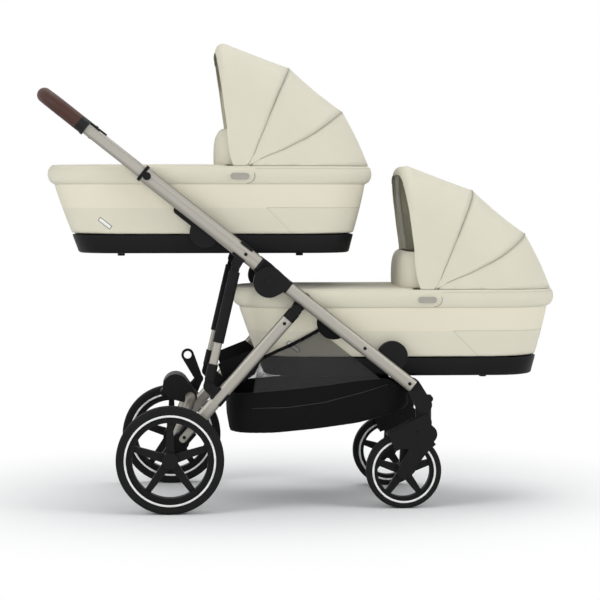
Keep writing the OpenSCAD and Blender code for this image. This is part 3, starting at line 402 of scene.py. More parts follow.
def outline(bm, half_l, half_w, corner, at, nose=None, segments=6, longest=0.08):
    """A flat ring of edges: a rectangle whose corners are round, the front ones by nose."""
    verts = bmesh.ops.create_grid(bm, x_segments=1, y_segments=1, size=1)["verts"]
    bmesh.ops.scale(bm, vec=(half_l, half_w, 1), verts=verts)
    bmesh.ops.translate(bm, vec=at, verts=verts)
    ends = [[v for v in verts if v.co.x > at[0]], [v for v in verts if v.co.x < at[0]]]
    for end, radius in zip(ends, (nose or corner, corner)):
        bmesh.ops.bevel(
            bm, geom=end, offset=radius, offset_type="OFFSET", affect="VERTICES",
            segments=segments, profile=0.5, material=-1,
        )
    while long := [e for e in bm.edges if e.calc_length() > longest]:
        bmesh.ops.subdivide_edges(bm, edges=long, cuts=1)
    bmesh.ops.delete(bm, geom=list(bm.faces), context="FACES_ONLY")
    return list(bm.edges)


def loft(bm, rings, corner, at, nose=None, segments=6, longest=0.08, caps=(True, True)):
    """Draws a rounded rectangle through rings of half length, half width and height."""
    half_l, half_w, low = rings[0]
    start = Vector(at) + Vector((0, 0, low))
    first = edges = outline(bm, half_l, half_w, corner, start, nose, segments, longest)
    middle = Matrix.Translation(-Vector(at))
    for to_l, to_w, high in rings[1:]:
        verts, edges = new_edges(bmesh.ops.extrude_edge_only(bm, edges=edges))
        bmesh.ops.translate(bm, vec=(0, 0, high - low), verts=verts)
        bmesh.ops.scale(bm, vec=(to_l / half_l, to_w / half_w, 1), space=middle, verts=verts)
        half_l, half_w, low = to_l, to_w, high
    for ends, cap in zip((first, edges), caps):
        if cap:
            bmesh.ops.edgeloop_fill(bm, edges=ends)
    return edges


def pour(made, bm):
    """Adds one bmesh to another and gives its edges there."""
    mesh = bpy.data.meshes.new("poured")
    made.to_mesh(mesh)
    made.free()
    before = len(bm.edges)
    bm.from_mesh(mesh)
    bpy.data.meshes.remove(mesh)
    bm.edges.ensure_lookup_table()
    return bm.edges[before:]


def disc(bm, at, radius, thick, axis="Y", segments=32, bevel=0.0):
    """A round plate or rod about Y or Z, its two rims rounded."""
    made = bmesh.ops.create_cone(
        bm, cap_ends=True, segments=segments, radius1=radius, radius2=radius, depth=thick
    )["verts"]
    if axis == "Y":
        bmesh.ops.rotate(bm, verts=made, cent=(0, 0, 0), matrix=Matrix.Rotation(pi / 2, 3, "X"))
    bmesh.ops.translate(bm, vec=at, verts=made)
    if bevel:
        caps = {f for v in made for f in v.link_faces if len(f.verts) == segments}
        rims = list({e for f in caps for e in f.edges})
        bmesh.ops.bevel(
            bm, geom=rims, offset=bevel, affect="EDGES", segments=2, profile=0.5, material=-1
        )


def tube_mesh(points, radius, closed=False):
    """The mesh of a thin cord through points."""
    curve = bpy.data.curves.new("cord", "CURVE")
    curve.dimensions = "3D"
    curve.bevel_depth = radius
    curve.bevel_resolution = 2
    curve.use_fill_caps = True
    line = curve.splines.new("POLY")
    line.points.add(len(points) - 1)
    for spot, point in zip(line.points, points):
        spot.co = (*point, 1)
    line.use_cyclic_u = closed
    drawn = bpy.data.objects.new("cord", curve)
    mesh = bpy.data.meshes.new_from_object(drawn)
    bpy.data.objects.remove(drawn)
    bpy.data.curves.remove(curve)
    return mesh


def cords(name, lines, radius, paint, body, slot, closed=False):
    """Cords through lists of points, as one piece."""
    bm = bmesh.new()
    for points in lines:
        mesh = tube_mesh(points, radius, closed)
        bm.from_mesh(mesh)
        bpy.data.meshes.remove(mesh)
    return new_piece(name, bm, paint, body, slot)


def read(table, at):
    """A value between the rows of a table, straight from one row to the next."""
    for (low, first), (high, last) in zip(table, table[1:]):
        if at <= high:
            share = max(0, (at - low) / (high - low))
            return first + share * (last - first)
    return table[-1][1]


def slab(points, y_in, y_out, rounded=(), radius=0.0):
    """A flat piece cut to points in the side plane, some of its corners round."""
    bm = bmesh.new()
    verts = [bm.verts.new((x, y_in, z)) for x, z in points]
    bm.faces.new(verts)
    if rounded:
        bmesh.ops.bevel(
            bm, geom=[verts[i] for i in rounded], offset=radius, offset_type="OFFSET",
            affect="VERTICES", segments=8, profile=0.5, material=-1,
        )
    made = bmesh.ops.extrude_face_region(bm, geom=list(bm.faces))["geom"]
    moved = [v for v in made if isinstance(v, bmesh.types.BMVert)]
    bmesh.ops.translate(bm, vec=(0, y_out - y_in, 0), verts=moved)
    return bm


def cut(bm, at, normal, **clear):
    """Cuts through everything with a plane and gives what the cut made."""
    geom = list(bm.verts) + list(bm.edges) + list(bm.faces)
    return bmesh.ops.bisect_plane(bm, geom=geom, plane_co=at, plane_no=normal, **clear)["geom_cut"]


def on_tube(along, up=0.0):
    """A point on the middle line of the front and upper tubes."""
    turned = Matrix.Rotation(TUBE_LEAN, 3, "Y")
    return TUBE_START + turned @ Vector((along, 0, up))


def on_leg(along, off=0.0):
    """A point on the middle line of a rear leg."""
    turned = Matrix.Rotation(LEG_LEAN, 3, "Y")
    return LEG_TOP + turned @ Vector((along, 0, off))


# Bolts of each body: the tube's line, how far out its face is, and places along it
BOLTS = {
    "upper_frame": (on_tube, 0.2530, (-0.0957,)),
    "chassis": (on_tube, 0.2520, (0.3156, 0.4715)),
    "rear_legs": (on_leg, 0.2500, (0.0478, 0.4579)),
}
BOLT_THICK, BOLT_ROUND = 0.0024, 0.0005


def make_bolts():
    """Dark bolt heads on the outer faces of the tubes."""
    for body, (line, face, places) in BOLTS.items():
        bm = bmesh.new()
        for along in places:
            for sign in SIDES.values():
                at = line(along) + Vector((0, sign * face, 0))
                disc(bm, at, sizes().bolt, BOLT_THICK, "Y", 24, BOLT_ROUND)
        new_piece(f"{body}_bolts", bm, material("plastic"), body, "black_plastic")


def finish_nodes(paint, nodes):
    """Gives CAD nodes their material."""
    for name in nodes:
        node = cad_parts[name]
        node.data.materials.clear()
        node.data.materials.append(paint)


# Cots

# Places from the middle of a cot's floor
PIVOT_AT = (0.079, 0, 0.160)
HUB_AT = (-0.0165, 0.007)
RIM_TOP = 0.188
RIM_FOOT = 0.139
FOOT_LEAN = 0.008

# Half length and half width of the wall's foot, and what each gains up to the rim
WALL_FOOT = (0.389, 0.194)
WALL_SPREAD = (0.042, 0.012)
WALL_PUFFS = ((0.005, 0), (0.03, 0), (0.25, 0.0012), (0.53, 0.0016), (0.8, 0.0012), (0.965, 0))
GROOVE_SHARE = 0.985

# Rings of half length, half width and height
RIM_RINGS = (
    (0.4335, 0.2068, 0.1395), (0.4420, 0.2098, 0.1440), (0.4468, 0.2130, 0.1530),
    (0.4490, 0.2150, 0.1640), (0.4478, 0.2142, 0.1755), (0.4440, 0.2120, 0.1835),
    (0.4390, 0.2092, 0.1872), (0.4345, 0.2062, 0.1880),
)
INNER_RINGS = (
    (0.4270, 0.2030, 0.1872), (0.4220, 0.2005, 0.1840), (0.4195, 0.1985, 0.1700),
    (0.4185, 0.1945, 0.1390), (0.4020, 0.1895, 0.0800), (0.3830, 0.1840, 0.0200),
    (0.3740, 0.1790, 0.0065),
)
BASE_RINGS = (
    (0.3670, 0.1785, -0.0500), (0.3715, 0.1830, -0.0488), (0.3748, 0.1863, -0.0455),
    (0.3760, 0.1875, -0.0410), (0.3882, 0.1936, -0.0012), (0.3880, 0.1934, 0.0),
    (0.3820, 0.1880, 0.0),
)
PAD_RINGS = (
    (0.355, 0.160, 0.0), (0.366, 0.171, 0.010), (0.369, 0.174, 0.022),
    (0.366, 0.171, 0.034), (0.355, 0.160, 0.042), (0.330, 0.140, 0.046),
)
RIM_SIDE = tuple((height, half_w) for half_l, half_w, height in RIM_RINGS[:6])
SHELL_CORNER = 0.122
TRAY_CORNER = 0.1
COT_STEP = 0.07

# Where the lining ends, and how level a face of the floor is
LINING_HALF = (0.425, 0.2)
LINING_TOP = 0.187
FLOOR_TOP = 0.1
LEVEL = 0.8

# Sewn lines on the wall
SEAM_UP = 0.074
SLANT = 0.226
HEM_UP = 0.1806
FOOT_SEAM_UP = RIM_FOOT - 0.001
BAND_SHARE = 0.5
SEAM_SHARE = 0.55
TAG_AT = (-0.2861, 0.0322)
TAG_HALF = (0.0205, 0.0060)
TAG_BORDER = 0.0017
TAG_SOFT = 0.0003

# Feet and hubs of the tray: radius, distance out, thickness and rounding of each hub plate
FEET_AT = (0.245, 0.12, -0.0535)
FOOT_R, FOOT_H, FOOT_ROUND = 0.010, 0.009, 0.0012
HUB_PLATES = ((0.041, 0.2034, 0.0186, 0.0015), (0.0335, 0.2118, 0.0032, 0.0012))

PAD_LIFT = 0.0065
PAD_CEILING = 0.0495
PAD_STEP = 0.05
PAD_VOXEL = 0.006
PAD_PRESSURE = 4
PAD_QUALITY = 4
PAD_FRAMES = 20
PAD_SWELL = (0.002, 0.006)

# Apron and wind flap: how far each ring draws in, and its height
APRON_ENDS = (-0.4235, 0.062)
APRON_HALF_W = 0.2050
APRON_SINK = 0.0010
APRON_CORNER, APRON_NOSE = 0.1355, 0.020
APRON_INSETS = (
    (0, 0), (0.0001, 0.0002), (0.0003, 0.0014), (0.0015, 0.0028),
    (0.006, 0.0040), (0.03, 0.0048), (0.09, 0.0057), (0.16, 0.0060),
)
FLAP_INSETS = ((0, 0), (0, 0.03), (0.0005, 0.06), (0.004, 0.082), (0.011, 0.096), (0.022, 0.1035))
FLAP_HALF = (0.12, 0.1832)
FLAP_BACK, FLAP_CUT = 0.0115, 0.0885
FLAP_CORNER, FLAP_STEP, FLAP_THICK = 0.06, 0.03, 0.005

# Covers on the rim: their ends and heights, and the edging round their fronts
COVER = (0.036, 0.120, 0.1400, 0.1815)
COVER_THICK = 0.004
COVER_SINK = 0.0030
COVER_SPARE = 0.0002
EDGING_IN, EDGING_OUT = 0.0006, 0.0010
EDGING_TURNS = range(-96, 25, 8)


def cot_middle(cot):
    """Middle of the cot's floor, taken from its shell in the frame."""
    low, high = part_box(f"{cot}_cot_shell")
    return Vector(((low[0] + high[0]) / 2, 0, low[2]))


def cot_pivot(cot):
    return cot_middle(cot) + Vector(PIVOT_AT)


def wall_ring(share, puff):
    """A ring of the cot's outer wall at a share of its height, pushed out by puff."""
    half_l, half_w = [foot + more * share + puff for foot, more in zip(WALL_FOOT, WALL_SPREAD)]
    return half_l, half_w, RIM_FOOT * share


def lean(bm, at):
    """Draws a cot's foot ahead of its rim."""
    for v in bm.verts:
        v.co.x += FOOT_LEAN * max(0, 1 - (v.co.z - at.z) / RIM_FOOT)


def cot_dress(cot):
    """The sewn lines and the bare tag on a cot's wall."""
    at = cot_middle(cot)

    def dress(paint, tone):
        x, y, z = paint.axes()
        along, up, line = x - at.x, z - at.z, sizes().seam
        slant = (along + up).near(SLANT, line, line) * (1 - up.above(SEAM_UP, line))
        level = up.near(SEAM_UP, line, line) * along.above(SLANT - SEAM_UP, line)
        foot = up.near(FOOT_SEAM_UP, line, line)
        hem = up.near(HEM_UP, line, line) * along.above(COVER[1], line)
        pressed = slant + level + foot + hem
        band = up.above(SEAM_UP, line) * (1 - up.above(RIM_FOOT, line))
        tone = paint.mix(band * BAND_SHARE, tone, [*colours().band, 1])
        tone = paint.mix(pressed * SEAM_SHARE, tone, [*colours().seam, 1])
        aside, above = along - TAG_AT[0], up - TAG_AT[1]
        length_way = aside * cos(TUBE_LEAN) - above * sin(TUBE_LEAN)
        width_way = aside * sin(TUBE_LEAN) + above * cos(TUBE_LEAN)
        for inset, shade in ((0, colours().trim), (TAG_BORDER, colours().cotton)):
            inside = length_way.near(0, TAG_HALF[0] - inset, TAG_SOFT)
            inside = inside * width_way.near(0, TAG_HALF[1] - inset, TAG_SOFT)
            tone = paint.mix(inside, tone, [*shade, 1])
        return tone, pressed

    return dress


def make_shell(cot):
    at = cot_middle(cot)
    bm = bmesh.new()
    wall = [wall_ring(share, puff) for share, puff in WALL_PUFFS]
    wall.append(wall_ring(GROOVE_SHARE, -sizes().groove))
    loft(bm, [*wall, *RIM_RINGS, *INNER_RINGS], SHELL_CORNER, at, longest=COT_STEP)
    lean(bm, at)
    paint = cloth_material(
        f"{cot}_shell_cloth", colours().fabric, sizes().weave, dress=cot_dress(cot)
    )
    shell = new_piece(
        f"{cot}_cot_shell_fabric", bm, paint, f"{cot}_cot", "cot_fabric", [f"{cot}_cot_shell"], 2
    )
    shell.data.materials.append(material("lining_cloth"))
    for face in shell.data.polygons:
        spot = face.center - at
        inside = abs(spot.x) < LINING_HALF[0] and abs(spot.y) < LINING_HALF[1]
        floor = face.normal.z > LEVEL and spot.z < FLOOR_TOP
        inward = floor or face.normal.dot(Vector((-spot.x, -spot.y, 0))) > 0
        face.material_index = int(inside and inward and spot.z < LINING_TOP)


def make_base(cot):
    """The tray under a cot, with four feet, and the hubs that sit on the adapters."""
    at = cot_middle(cot)
    bm = bmesh.new()
    loft(bm, BASE_RINGS, TRAY_CORNER, at, longest=COT_STEP)
    lean(bm, at)
    x_feet, y_feet, z_feet = FEET_AT
    for x in (-x_feet, x_feet):
        for y in (-y_feet, y_feet):
            disc(bm, at + Vector((x, y, z_feet)), FOOT_R, FOOT_H, "Z", 24, FOOT_ROUND)
    body, paint = f"{cot}_cot", material("plastic")
    new_piece(f"{cot}_cot_tray", bm, paint, body, "black_plastic", [f"{cot}_cot_base"])
    hubs = bmesh.new()
    for sign in (-1, 1):
        for radius, out, thick, rounding in HUB_PLATES:
            place = at + Vector((HUB_AT[0], sign * out, HUB_AT[1]))
            disc(hubs, place, radius, thick, "Y", 48, rounding)
    new_piece(f"{cot}_cot_hubs", hubs, paint, body, "black_plastic")


def make_mattress(cot):
    at = cot_middle(cot) + Vector((FOOT_LEAN, 0, PAD_LIFT))
    bm = bmesh.new()
    loft(bm, PAD_RINGS, TRAY_CORNER, at, longest=PAD_STEP)
    pad = new_piece(
        f"{cot}_mattress_pad", bm, material("mattress_cloth"), None, "mattress_fabric",
        [f"{cot}_mattress"],
    )
    plump(pad, at.z + PAD_CEILING)
    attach(pad, f"{cot}_cot")


def apply_modifiers(piece):
    """Writes what the modifiers show into the piece's own mesh."""
    shown = piece.evaluated_get(bpy.context.evaluated_depsgraph_get())
    mesh = bpy.data.meshes.new_from_object(shown)
    piece.modifiers.clear()
    piece.data = mesh


def plump(pad, ceiling):
    """Blows the pad up as cloth, and keeps it within its cot."""
    remesh = pad.modifiers.new("Remesh", "REMESH")
    remesh.mode = "VOXEL"
    remesh.voxel_size = PAD_VOXEL
    remesh.use_smooth_shade = True
    apply_modifiers(pad)
    rest = [v.co.copy() for v in pad.data.vertices]
    cloth = pad.modifiers.new("Cloth", "CLOTH")
    cloth.settings.use_pressure = True
    cloth.settings.uniform_pressure_force = PAD_PRESSURE
    cloth.settings.effector_weights.gravity = 0
    cloth.settings.quality = PAD_QUALITY
    cloth.point_cache.frame_start = 1
    cloth.point_cache.frame_end = PAD_FRAMES
    for step in range(1, PAD_FRAMES + 1):
        bpy.context.scene.frame_set(step)
    apply_modifiers(pad)
    bpy.context.scene.frame_set(1)
    aside, up = PAD_SWELL
    for v, was in zip(pad.data.vertices, rest):
        moved = v.co - was
        moved.x = max(-aside, min(aside, moved.x))
        moved.y = max(-aside, min(aside, moved.y))
        moved.z = max(0.0, min(up, moved.z))
        v.co = was + moved
        v.co.z = min(v.co.z, ceiling)
    pad.data.shade_smooth()


def make_apron(cot):
    """The padded cover over the foot end."""
    at = cot_middle(cot)
    back, front = [at.x + HUB_AT[0] + end for end in APRON_ENDS]
    half_l = (front - back) / 2
    middle = Vector(((front + back) / 2, 0, at.z + RIM_TOP - APRON_SINK))
    rings = [(half_l - inset, APRON_HALF_W - inset, height) for inset, height in APRON_INSETS]
    bm = bmesh.new()
    loft(bm, rings, APRON_CORNER, middle, APRON_NOSE, longest=PAD_STEP)
    apron = new_piece(
        f"{cot}_apron_cover", bm, material("cot_cloth"), f"{cot}_cot", "cot_fabric",
        [f"{cot}_apron"], 1,
    )


def make_flap(cot):
    """The wind flap: an upright pad round the head end of the apron, tucked into the canopy."""
    at = cot_middle(cot)
    half_l, half_w = FLAP_HALF
    rings = [(half_l - inset, half_w - inset, height) for inset, height in FLAP_INSETS]
    middle = (at.x + FLAP_BACK + half_l, 0, at.z + RIM_TOP)
    bm = bmesh.new()
    loft(bm, rings, FLAP_CORNER, middle, longest=FLAP_STEP, caps=(False, False))
    cut(bm, (at.x + FLAP_CUT, 0, 0), (1, 0, 0), clear_outer=True)
    bmesh.ops.remove_doubles(bm, verts=bm.verts, dist=MERGE)
    bmesh.ops.recalc_face_normals(bm, faces=bm.faces)
    bmesh.ops.solidify(bm, geom=list(bm.faces), thickness=FLAP_THICK)
    flap = new_piece(
        f"{cot}_wind_flap", bm, material("cot_cloth"), f"{cot}_cot", "cot_fabric", (), 1
    )


def make_covers(cot):
    """Sewn covers that lie on the rim, behind the plates of the canopy's pivots."""
    at, body = cot_middle(cot), f"{cot}_cot"
    x_low, x_high, z_low, z_high = COVER
    corners = ((x_low, z_low), (x_high, z_low), (x_high, z_high), (x_low, z_high))
    points = [(at.x + x, at.z + z) for x, z in corners]
    radius = (z_high - z_low) / 2 - COVER_SPARE
    middle = at + Vector((x_high - radius, 0, (z_low + z_high) / 2))
    bm, lines = bmesh.new(), []
    for sign in SIDES.values():
        cover = slab(points, sign * COVER_THICK, 0, (1, 2), radius)
        for height, _ in RIM_SIDE:
            cut(cover, (0, 0, at.z + height), (0, 0, 1))
        for v in cover.verts:
            v.co.y += sign * (read(RIM_SIDE, v.co.z - at.z) - COVER_SINK)
        pour(cover, bm)
        line = [middle + spoke(turn, radius - EDGING_IN) for turn in EDGING_TURNS]
        for spot in line:
            spot.y = sign * (read(RIM_SIDE, spot.z - at.z) + EDGING_OUT)
        lines.append(line)
    covers = new_piece(f"{cot}_pivot_covers", bm, material("cot_cloth"), body, "cot_fabric")
    covers.data.shade_flat()
    paint = material("trim_thread")
    cords(f"{cot}_cover_edging", lines, sizes().seam, paint, body, "cot_fabric")


# Canopies

# Rows of the canopy: turn from the X axis and reach from the pivot
LIP_ROWS = (
    (101.0, 0.345), (100.3, 0.357), (99.4, 0.3645), (98.2, 0.3685), (96.8, 0.3695),
    (95.4, 0.3660), (93.9, 0.3605),
)
SLOPE_ROW = (92.0, 0.3560)
MID_ROW = (64.9, 0.3300)
REAR_ROW = (31.8, 0.3385)
HEM_ROW = (4.53, 0.3611)

# How many degrees each seam bends from its row, by the distance from the pivot
LIP_BEND = ((0.038, 20.5), (0.128, 3.4), (0.237, 0.6), (0.318, 0.0))
MID_BEND = ((0.039, -13.5), (0.103, -3.9), (0.183, -0.9), (0.250, 0.0))
REAR_BEND = (
    (0.043, 18.9), (0.067, 9.4), (0.124, -0.4), (0.217, -2.3), (0.290, -0.8), (0.330, 0.0),
)
HEM_BEND = ((0.0, 0.0), (1.0, 0.0))

# Two turns for each panel; the points drawn at them are not used
FRONT_TURNS, MIDDLE_TURNS, REAR_TURNS = (68, 92), (35, 62), (8, 29)
BLEND_REACH = 0.75
CANOPY_HALF_W = 0.208
CANOPY_CORNER = 0.130
PANEL_ROWS = 4
SIDE_STEP, SIDE_CUTS = 0.06, 5
ORDER_REACH = 0.1
HEM_GAP, SEAM_GAP = 0.0005, 0.004
SEAM_OUT = 0.0003
CROWN = 0.035
EDGING_WIDTH = 1.6


def spoke(turn, reach):
    """The way from a pivot to a point in the side plane."""
    return Vector((reach * cos(radians(turn)), 0, reach * sin(radians(turn))))


def polar(co, pivot):
    """A point's turn in degrees and its distance from the pivot, in the side plane."""
    away = co - pivot
    return degrees(atan2(away.z, away.x)), Vector((away.x, away.z)).length


def share_of(turn, first, last):
    """How far a turn has come from a first one to a last one, from 0 to 1."""
    return min(1, max(0, (first - turn) / (first - last)))


def arch(bm, pivot, turn, radius):
    """One row of the canopy: a round-shouldered arch leaning at a turn from the X axis."""
    row = bmesh.new()
    bmesh.ops.create_grid(row, x_segments=1, y_segments=1, size=1)
    bmesh.ops.translate(row, vec=(1, 0, 0), verts=row.verts)
    bmesh.ops.scale(row, vec=(radius / 2, CANOPY_HALF_W, 1), verts=row.verts)
    bmesh.ops.bevel(
        row, geom=[v for v in row.verts if v.co.x > radius / 2], offset=CANOPY_CORNER,
        offset_type="OFFSET", affect="VERTICES", segments=8, profile=0.5, material=-1,
    )
    bmesh.ops.delete(row, geom=list(row.faces), context="FACES_ONLY")
    foot = [e for e in row.edges if all(v.co.x < radius / 9 for v in e.verts)]
    bmesh.ops.delete(row, geom=foot, context="EDGES")
    straight = [e for e in row.edges if e.calc_length() > SIDE_STEP]
    bmesh.ops.subdivide_edges(row, edges=straight, cuts=SIDE_CUTS)
    turned = Matrix.Rotation(-radians(turn), 3, "Y")
    bmesh.ops.rotate(row, verts=row.verts, cent=(0, 0, 0), matrix=turned)
    bmesh.ops.translate(row, vec=pivot, verts=row.verts)
    return pour(row, bm)


def bend_seams(points, pivot, edges):
    """Turns points about the pivot, so that a panel's two edges curve as their seams do."""
    (first_turn, first), (last_turn, last) = edges
    for co in points:
        turn, reach = polar(co, pivot)
        share = share_of(turn, first_turn, last_turn)
        bent = radians(turn + (1 - share) * read(first, reach) + share * read(last, reach))
        co.x, co.z = pivot.x + reach * cos(bent), pivot.z + reach * sin(bent)


def fan_out(points, pivot, edges, radius):
    """Lays points at one distance from the pivot, a panel's two edges straight again."""
    (first_turn, first), (last_turn, last) = edges
    for co in points:
        turn, reach = polar(co, pivot)
        share = share_of(turn, first_turn + read(first, reach), last_turn + read(last, reach))
        fanned = radians(first_turn + share * (last_turn - first_turn))
        co.x, co.z = pivot.x + radius * cos(fanned), pivot.z + radius * sin(fanned)


def between(first, last, dip):
    """Rows from one bow to the next, along a chord that dips between them."""
    start, end = spoke(*first), spoke(*last)
    rows = []
    for i in range(PANEL_ROWS + 1):
        share = i / PANEL_ROWS
        spot = start.lerp(end, share)
        spot -= spot.normalized() * dip * 4 * share * (1 - share)
        rows.append((degrees(atan2(spot.z, spot.x)), spot.length))
    return rows


def canopy_panel(cot, name, rows, bends, turns, nodes=()):
    """A part of the canopy's sheet through rows, its two edges curved as the seams bend."""
    pivot = cot_pivot(cot)
    bm = bmesh.new()
    rings = [arch(bm, pivot, *row) for row in rows]
    for near, far in zip(rings, rings[1:]):
        bmesh.ops.bridge_loops(bm, edges=near + far)
    edges = [(rows[0][0], bends[0]), (rows[-1][0], bends[1])]
    bend_seams([v.co for v in bm.verts], pivot, edges)
    hem = cot_middle(cot).z + RIM_TOP + HEM_GAP
    cut(bm, (0, 0, hem), (0, 0, 1), clear_inner=True)
    bmesh.ops.recalc_face_normals(bm, faces=bm.faces)
    area = sum(face.calc_area() for face in bm.faces)
    panel = new_piece(
        f"{cot}_canopy_{name}", bm, material("cot_cloth"), None, "cot_fabric", nodes
    )
    subdivide(panel, 1)
    wall = panel.modifiers.new("Cloth", "SOLIDIFY")
    wall.thickness = sizes().cloth
    wall.offset = -1
    apply_modifiers(panel)
    # The points are fanned out from the pivot, then put back where they were sewn
    reach = BLEND_REACH * rows[0][1]
    start, end = [pivot + spoke(turn, reach) for turn in turns]
    sewn = [v.co.copy() for v in panel.data.vertices]
    fan_out([v.co for v in panel.data.vertices], pivot, edges, reach)
    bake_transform(panel)
    for v, spot in zip(panel.data.vertices, sewn):
        v.co = spot
    sides = 2 * (max(radius for _, radius in rows) - CANOPY_CORNER)
    widest = sides + pi * CANOPY_CORNER + 2 * (CANOPY_HALF_W - CANOPY_CORNER)
    crown = [spoke(*row) for row in rows]


def arch_points(cot, turn, radius, bend):
    """Points along one row of the canopy, from hem to hem."""
    pivot = cot_pivot(cot)
    bm = bmesh.new()
    edges = arch(bm, pivot, turn, radius)
    hem = cot_middle(cot).z + RIM_TOP + SEAM_GAP
    points = sorted(
        (v.co.copy() for v in {v for e in edges for v in e.verts}),
        key=lambda co: atan2(co.y, (co - pivot).length - ORDER_REACH),
    )
    bm.free()
    bend_seams(points, pivot, [(turn, bend), (turn - 1, bend)])
    return [point for point in points if point.z > hem]


def make_canopy(cot):
    dip = sizes().slack
    front_rows = [*LIP_ROWS, *between(SLOPE_ROW, MID_ROW, dip / 4)]
    middle_rows = between(MID_ROW, REAR_ROW, dip)
    rear_rows = between(REAR_ROW, HEM_ROW, -dip)
    front, mid, rear = [f"{cot}_bow_{name}" for name in ("front", "mid", "rear")]
    for name, rows, bends, bodies, turns, nodes in (
        ("front", front_rows, (LIP_BEND, MID_BEND), (mid, front), FRONT_TURNS, [f"{cot}_canopy"]),
        ("middle", middle_rows, (MID_BEND, REAR_BEND), (rear, mid), MIDDLE_TURNS, ()),
        ("rear", rear_rows, (REAR_BEND, HEM_BEND), (f"{cot}_cot", rear), REAR_TURNS, ()),
    ):
        canopy_panel(cot, f"{name}_panel", rows, bends, turns, nodes)
    thread, width = material("seam_thread"), sizes().seam
    for name, (turn, radius), bend, bow in (
        ("mid", MID_ROW, MID_BEND, mid), ("rear", REAR_ROW, REAR_BEND, rear),
    ):
        points = arch_points(cot, turn, radius + SEAM_OUT, bend)
        cords(f"{cot}_canopy_{name}_seam", [points], width, thread, bow, "cot_fabric")
    turn, radius = LIP_ROWS[0]
    low = cot_pivot(cot).z + radius - CROWN
    crown = [point for point in arch_points(cot, turn, radius, LIP_BEND) if point.z > low]
    cords(f"{cot}_canopy_edging", [crown], width * EDGING_WIDTH, material("trim_thread"), front,
          "cot_fabric")


# Basket

# Heights of the tub's floor and top edge at shares of its length
BASKET_SHARES = (0, 0.24, 0.48, 0.72, 0.88, 1)
FLOOR_RISES = (0, 0, 0.011, 0.027, 0.048, 0.070)
WALL_RISES = (0.113, 0.1225, 0.1335, 0.1505, 0.156, 0.110)

# How far each level of the tub draws in, and its share of the height
TUB_LEVELS = (
    (0.009, 0.0), (0.002, 0.05), (-0.002, 0.18), (-0.004, 0.45), (-0.003, 0.75), (0.0, 1.0),
)
FLOOR_SHARE = 0.1
TUB_WALL = 0.004
TUB_CORNER, TUB_STEP = 0.06, 0.035
LEVEL_STEP = 1000

# Points from the tub's rear lower corner
STRAP = (
    (0.078, 0.204), (0.0965, 0.214), (0.133, 0.231), (0.163, 0.244), (0.200, 0.2625),
    (0.242, 0.286),
)
TUB_SEAM = ((0.061, 0.073), (0.157, 0.075), (0.255, 0.088), (0.362, 0.115), (0.432, 0.137))
PATCH = (
    (-0.032, 0.195), (0.053, 0.229), (0.085, 0.204), (0.069, 0.167), (0.042, 0.150),
    (0.012, 0.130), (-0.012, 0.140),
)
MESH_SHARES = (0.84, 0.7, 0.55, 0.4, 0.26, 0.13)
MESH_SINK, MESH_IN = 0.003, 0.001

# How far pieces of the side lie within its face and beyond it
PATCH_IN, PATCH_OUT = 0.0034, 0.0014
STRAP_IN, STRAP_OUT, STRAP_HALF = 0.0023, 0.0003, 0.0045
SEAM_STAND, SEAM_WIDTH = 0.0036, 1.5
TAB_AT, TAB_Y = (0.208, 0.002), 0.2245
TAB_R, TAB_THICK, TAB_ROUND = 0.046, 0.005, 0.001


def rise(share, rises):
    """A height read off a few stations along the basket."""
    return read(tuple(zip(BASKET_SHARES, rises)), share)


def basket_box():
    low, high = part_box("basket_tub")
    return Vector(low), Vector(high)


def make_tub():
    """The fabric tub. Its levels are first drawn far apart, so that each vert tells its own."""
    low, high = basket_box()
    half_l, half_w = (high.x - low.x) / 2, (high.y - low.y) / 2
    bm = bmesh.new()
    outer = [(half_l - inset, half_w - inset, LEVEL_STEP * share) for inset, share in TUB_LEVELS]
    inner = [(l - TUB_WALL, w - TUB_WALL, h + 1) for l, w, h in reversed(outer)]
    middle = ((low.x + high.x) / 2, 0, 0)
    loft(bm, outer + inner, TUB_CORNER, middle, longest=TUB_STEP)
    for v in bm.verts:
        inside = 1 if round(v.co.z) % 10 == 1 else 0
        share = round(v.co.z - inside) / LEVEL_STEP
        along = (v.co.x - low.x) / (2 * half_l)
        floor, top = rise(along, FLOOR_RISES), rise(along, WALL_RISES)
        v.co.z = low.z + floor + share * (top - floor) + TUB_WALL * inside * (share < FLOOR_SHARE)
    new_piece("basket_fabric_tub", bm, material("basket_cloth"), "chassis", "basket_fabric",
              ["basket_tub"], 1)


def make_panels():
    """The mesh sides with their corner patches, straps, seams and tabs."""
    low, high = basket_box()
    corner = Vector((low.x, low.z))
    span = high.x - low.x
    strap = [corner + Vector(p) for p in STRAP]
    foot = [
        corner + Vector((share * span, rise(share, WALL_RISES) - MESH_SINK))
        for share in MESH_SHARES
    ]
    fabric = (material("basket_cloth"), "chassis", "basket_fabric")
    for side, sign in SIDES.items():
        y = high.y * sign
        bm = bmesh.new()
        bm.faces.new([bm.verts.new((p.x, y - sign * MESH_IN, p.y)) for p in strap + foot])
        panel = new_piece(f"basket_mesh_{side}", bm, material("mesh"), "chassis", "basket_mesh",
                          ["basket_panels"] if side == "left" else ())
        panel.data.shade_flat()
        points = [corner + Vector(p) for p in PATCH]
        patch = slab(points, y - sign * PATCH_IN, y + sign * PATCH_OUT)
        new_piece(f"basket_corner_patch_{side}", patch, *fabric)
        band = bmesh.new()
        for a, b in zip(strap, strap[1:]):
            strap_link(band, a, b, y - sign * STRAP_IN, y + sign * STRAP_OUT)
        new_piece(f"basket_strap_{side}", band, *fabric)
        seam = [Vector((corner.x + x, y + sign * SEAM_STAND, corner.y + z)) for x, z in TUB_SEAM]
        cords(f"basket_seam_{side}", [seam], sizes().seam * SEAM_WIDTH, material("trim_thread"),
              "chassis", "basket_fabric")
        make_tab(side, sign)


